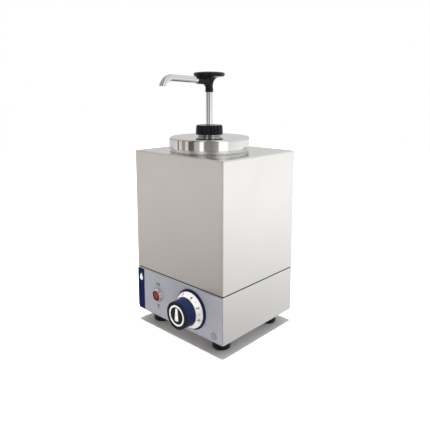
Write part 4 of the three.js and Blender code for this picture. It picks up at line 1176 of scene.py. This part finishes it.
def spout_line():
    """The spout's centreline: a straight rise out of the handle, then a bend down."""
    start = Vector(SPOUT_START)
    bend_start = Vector(SPOUT_BEND_START)
    run = bend_start - start
    slope = atan2(run.y, run.x)
    points = []
    for step in range(SPOUT_STRAIGHT_STEPS):
        points.append((*(start + run * step / SPOUT_STRAIGHT_STEPS), slope))
    for step in range(SPOUT_BEND_STEPS + 1):
        turned = radians(SPOUT_BEND_ANGLE) * step / SPOUT_BEND_STEPS
        forward = SPOUT_BEND_RADIUS * sin(turned)
        fall = SPOUT_BEND_RADIUS * (1 - cos(turned))
        out = bend_start.x + forward * cos(slope) + fall * sin(slope)
        up = bend_start.y + forward * sin(slope) - fall * cos(slope)
        points.append((out, up, slope - turned))
    return points


def spout_ring(out, up, heading, radius):
    """A ring round the spout's centreline, with its points in the row frame's directions."""
    ring = []
    for side in range(SPOUT_SIDES):
        angle = 2 * pi * side / SPOUT_SIDES
        across = radius * cos(angle)
        rise = radius * sin(angle)
        along_y = -(out - rise * sin(heading))
        ring.append(Vector((across, along_y, up + rise * cos(heading))))
    return ring


def make_spout():
    """The bent steel spout, its tip cut level."""
    line = spout_line()
    inner_radius, outer_radius = SPOUT_RADII
    outside = [spout_ring(out, up, heading, outer_radius) for out, up, heading in line]
    inside = [spout_ring(out, up, heading, inner_radius) for out, up, heading in line]
    place = pump_axis()
    piece = new_object("spout", skin_over(outside + inside[::-1], True), place)
    reach = 2 * SPOUT_BEND_RADIUS
    outline = rectangle_outline(reach, 2 * reach, 1)
    skin = prism(outline, SPOUT_TIP - reach, SPOUT_TIP)
    tip = Matrix.Translation((0, -SPOUT_BEND_START[0] * MM, 0))
    combine(piece, [new_object("tip_cutter", skin, place @ tip)], "DIFFERENCE")
    settle(piece, "handle", "polished_steel", ["spout_tube"])


def pump_axis():
    """The place of the pump's axis on the floor."""
    middle = middle_of("piston_rod")
    return Matrix.Translation((middle.x, middle.y, 0))


def handle_profile():
    """Half the section of the handle: neck, flare and cap, from the row frame's floor."""
    collar = [(0, 436.6, 0), (7.4, 436.6, 0.8), (7.4, 440.5, 1.5)]
    cap = [(26.9, 464.4, 1.8), (28.1, 469.6, 1.2), (26.4, 471.4, 1.5), (14, 472.8, 20), (0, 473.3, 0)]
    return collar + flare(HANDLE_WAIST, HANDLE_FLARE) + cap


def flare(start, end):
    """A quarter of an ellipse as profile corners, upright at its start and level at its end."""
    corners = []
    for step in range(FLARE_STEPS + 1):
        angle = (pi / 2) * step / FLARE_STEPS
        radius = start[0] + (end[0] - start[0]) * (1 - cos(angle))
        corners.append((radius, start[1] + (end[1] - start[1]) * sin(angle), 0))
    return corners


def along_spout(skin):
    """Lays a solid turned about +Z along the spout's straight stretch, from the pump's axis."""
    out, up, slope = spout_line()[0]
    tilt = Matrix.Rotation(pi / 2 - slope, 4, "X")
    lift = Matrix.Translation((0, 0, (up - out * tan(slope)) * MM))
    bmesh.ops.transform(skin, matrix=lift @ tilt, verts=skin.verts)
    return skin


def rod_of(radius, bottom, top, fillet=0.0):
    """A plain round bar along +Z."""
    corners = [(0, bottom, 0), (radius, bottom, fillet), (radius, top, fillet), (0, top, 0)]
    return lathe(corners, MEDIUM_SIDES)


def make_gusset(place):
    """The web that rounds the corner between the neck and the boss's underside."""
    low = BOSS_UNDERSIDE - GUSSET_RADIUS
    reach = NECK_RADIUS + GUSSET_RADIUS
    curve = flare((NECK_RADIUS, low), (reach, BOSS_UNDERSIDE))
    corners = [(0, low, 0), *curve, (0, BOSS_UNDERSIDE, 0)]
    gusset = new_object("gusset", lathe(corners, MEDIUM_SIDES), place)
    depth = 2 * reach
    slab = prism(rectangle_outline(GUSSET_WIDTH, depth, 1), low - 1, BOSS_UNDERSIDE + 1)
    front = place @ Matrix.Translation((0, -depth / 2 * MM, 0))
    combine(gusset, [new_object("slab", slab, front)], "INTERSECT")
    return gusset


def soften(piece, rounds, chosen):
    """Evens out the part of a piece whose points pass the test."""
    skin = bmesh.new()
    skin.from_mesh(piece.data)
    points = [vertex for vertex in skin.verts if chosen(vertex.co)]
    for _ in range(rounds):
        bmesh.ops.smooth_vert(
            skin, verts=points, factor=0.5, use_axis_x=True, use_axis_y=True, use_axis_z=True
        )
    skin.to_mesh(piece.data)
    skin.free()


def make_handle():
    """The moulded handle: a mushroom cap on a neck, with a boss that the spout comes out of."""
    place = pump_axis()
    piece = new_object("pump_handle_body", lathe(handle_profile(), LARGE_SIDES), place)
    boss = new_object("boss", along_spout(rod_of(BOSS_RADIUS, 0, BOSS_REACH, 1.2)), place)
    combine(piece, [boss, make_gusset(place)], "UNION")
    remesh = piece.modifiers.new("remesh", "REMESH")
    remesh.mode = "VOXEL"
    remesh.voxel_size = HANDLE_VOXEL * MM
    apply_modifiers(piece)
    soften(piece, HANDLE_SMOOTHING, lambda point: True)
    soften(piece, NECK_SMOOTHING, lambda point: point.z < NECK_TOP * MM)
    spout_bores = [rod_of(5.98, 12.7, 60), rod_of(3, 0, 30)]
    rod_bores = [rod_of(6.32, 430, 440.1), rod_of(5.2, 439, 449.1), rod_of(3, 448, 457.4)]
    skins = [along_spout(bore) for bore in spout_bores] + rod_bores
    combine(piece, [new_object("bore", skin, place) for skin in skins], "DIFFERENCE")
    settle(piece, "handle", "black_plastic", ["pump_handle"])


def make_spout_washer():
    """The rubber ring between the spout's end and the floor of its bore."""
    ring = along_spout(lathe(ring_section(3.8, 5.8, 1.6, 0.3, 0.5), SMALL_SIDES))
    _, _, slope = spout_line()[0]
    shift = SPOUT_WASHER_PLACE * MM * Vector((0, -cos(slope), sin(slope)))
    piece = new_object("spout_washer", ring, Matrix.Translation(shift) @ pump_axis())
    settle(piece, "handle", "seal_rubber", ["spout_seal"])


# Carried-over CAD nodes, stage and camera


def finish_cad_nodes():
    """Gives the CAD nodes that stay in view their materials."""
    kept = {
        "bottom_plate": "cabinet_steel",
        "pilot_lamp_nut": "plain_steel",
        "thermostat_body": "bare_aluminium",
        "thermostat_spindle": "bare_brass",
        "terminal_block": "white_plastic",
    }
    for node, material in kept.items():
        for socket in frame["nodes"][node].material_slots:
            socket.material = materials[material]


def make_floor():
    """A plain pale floor that mirrors in nothing."""
    skin = bmesh.new()
    bmesh.ops.create_grid(skin, x_segments=1, y_segments=1, size=FLOOR_REACH)
    floor = new_object("floor", skin)
    material, tree, shader = new_material("floor_paint", FLOOR_COLOUR, FLOOR_ROUGHNESS)
    shader.inputs["Specular IOR Level"].default_value = 0.0
    vary_colour(tree, shader, noise(tree, FLOOR_SPECKLE, 4), FLOOR_COLOUR, 0.99, 1.01)
    floor.data.materials.append(material)
    floor.visible_glossy = False


def ramp(tree, value, stops):
    """The colour at a value along a ramp with its stops at (place, colour)."""
    node = add_node(tree, "ValToRGB", {"Fac": value})
    elements = node.color_ramp.elements
    elements.remove(elements[-1])
    (place, colour), *rest = stops
    elements[0].position = place
    elements[0].color = (*colour, 1)
    for place, colour in rest:
        elements.new(place).color = (*colour, 1)
    return node.outputs["Color"]


def tinted(brightness, warmth):
    """A brightness in white or, as far as warmth says, in warm white."""
    return [brightness * (1 + (channel - 1) * warmth) for channel in WARM_WHITE]


def make_surroundings():
    """A white studio: bright to the right and behind, dimmer with dark bars to the left."""
    world = bpy.data.worlds.new("studio")
    bpy.context.scene.world = world
    world.use_nodes = True
    tree = world.node_tree
    tree.nodes.clear()
    place = add_node(tree, "TexCoord").outputs["Generated"]
    east, north, up = add_node(tree, "SeparateXYZ", {"Vector": place}).outputs
    azimuth = arithmetic(tree, "ARCTAN2", north, east)
    turn = arithmetic(tree, "ADD", arithmetic(tree, "DIVIDE", azimuth, 2 * pi), 0.5)
    level = arithmetic(tree, "ADD", arithmetic(tree, "MULTIPLY", up, 0.5), 0.5)
    brightest = max(brightness for _, brightness, _ in SURROUNDINGS)
    strongest = max(factor for _, factor in HEIGHT_FALLOFF)
    stops = [(way / 360 + 0.5, tinted(light / brightest, warmth)) for way, light, warmth in SURROUNDINGS]
    heights = [(height / 2 + 0.5, (factor / strongest,) * 3) for height, factor in HEIGHT_FALLOFF]
    colours = {"Factor": 1, "A": ramp(tree, turn, stops), "B": ramp(tree, level, heights)}
    product = add_node(tree, "Mix", colours, data_type="RGBA", blend_type="MULTIPLY")
    light = {"Color": product.outputs["Result"], "Strength": brightest * strongest}
    studio = add_node(tree, "Background", light).outputs["Background"]
    backdrop = add_node(tree, "Background", {"Color": (1, 1, 1, 1)}).outputs["Background"]
    seen = add_node(tree, "LightPath").outputs["Is Camera Ray"]
    choice = add_node(tree, "MixShader", {"Fac": seen, 1: studio, 2: backdrop})
    add_node(tree, "OutputWorld", {"Surface": choice.outputs["Shader"]})


def make_key_light():
    """A soft light straight above, in which the cabinet alone leaves a shadow, right under it."""
    light = bpy.data.lights.new("key", "SUN")
    light.energy = KEY_STRENGTH
    light.angle = radians(KEY_ANGLE)
    lamp = bpy.data.objects.new("key", light)
    lamp.visible_glossy = False
    bpy.context.scene.collection.objects.link(lamp)
    blockers = bpy.data.collections.new("shadow_makers")
    for name in SHADOW_MAKERS:
        blockers.objects.link(bpy.data.objects[name])
    lamp.light_linking.blocker_collection = blockers


def make_camera():
    """The camera at the viewing angle of the reference."""
    settings = bpy.data.cameras.new("camera")
    settings.lens = CAMERA_LENS
    settings.sensor_width = CAMERA_SENSOR
    settings.shift_y = CAMERA_SHIFT
    camera = bpy.data.objects.new("camera", settings)
    camera.location = CAMERA_PLACE
    camera.rotation_euler = [radians(angle) for angle in CAMERA_TURN]
    bpy.context.scene.collection.objects.link(camera)
    bpy.context.scene.camera = camera


def set_view():
    """Plain colours, as a product photograph on white shows them."""
    settings = bpy.context.scene.view_settings
    settings.view_transform = "Standard"
    settings.look = "None"
    settings.exposure = 0
    settings.gamma = 1


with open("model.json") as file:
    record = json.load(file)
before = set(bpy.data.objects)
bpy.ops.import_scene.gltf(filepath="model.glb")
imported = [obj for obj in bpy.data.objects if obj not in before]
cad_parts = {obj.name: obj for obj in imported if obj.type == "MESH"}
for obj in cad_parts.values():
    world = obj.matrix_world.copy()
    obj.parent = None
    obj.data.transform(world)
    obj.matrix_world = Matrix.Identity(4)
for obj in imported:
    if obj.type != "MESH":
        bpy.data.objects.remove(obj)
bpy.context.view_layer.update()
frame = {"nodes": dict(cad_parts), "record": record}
materials = make_materials()

make_upper_shell()
make_base_shell()
make_panel()
make_panel_marks()
make_lamp()
make_plug()
make_feet()
make_dial()
make_dial_marks()
make_inlet()
make_well()
make_container()
make_lid()
make_pump()
make_spring()
make_collar()
make_spout()
make_handle()
make_spout_washer()
finish_cad_nodes()
make_floor()
make_surroundings()
make_key_light()
make_camera()
set_view()
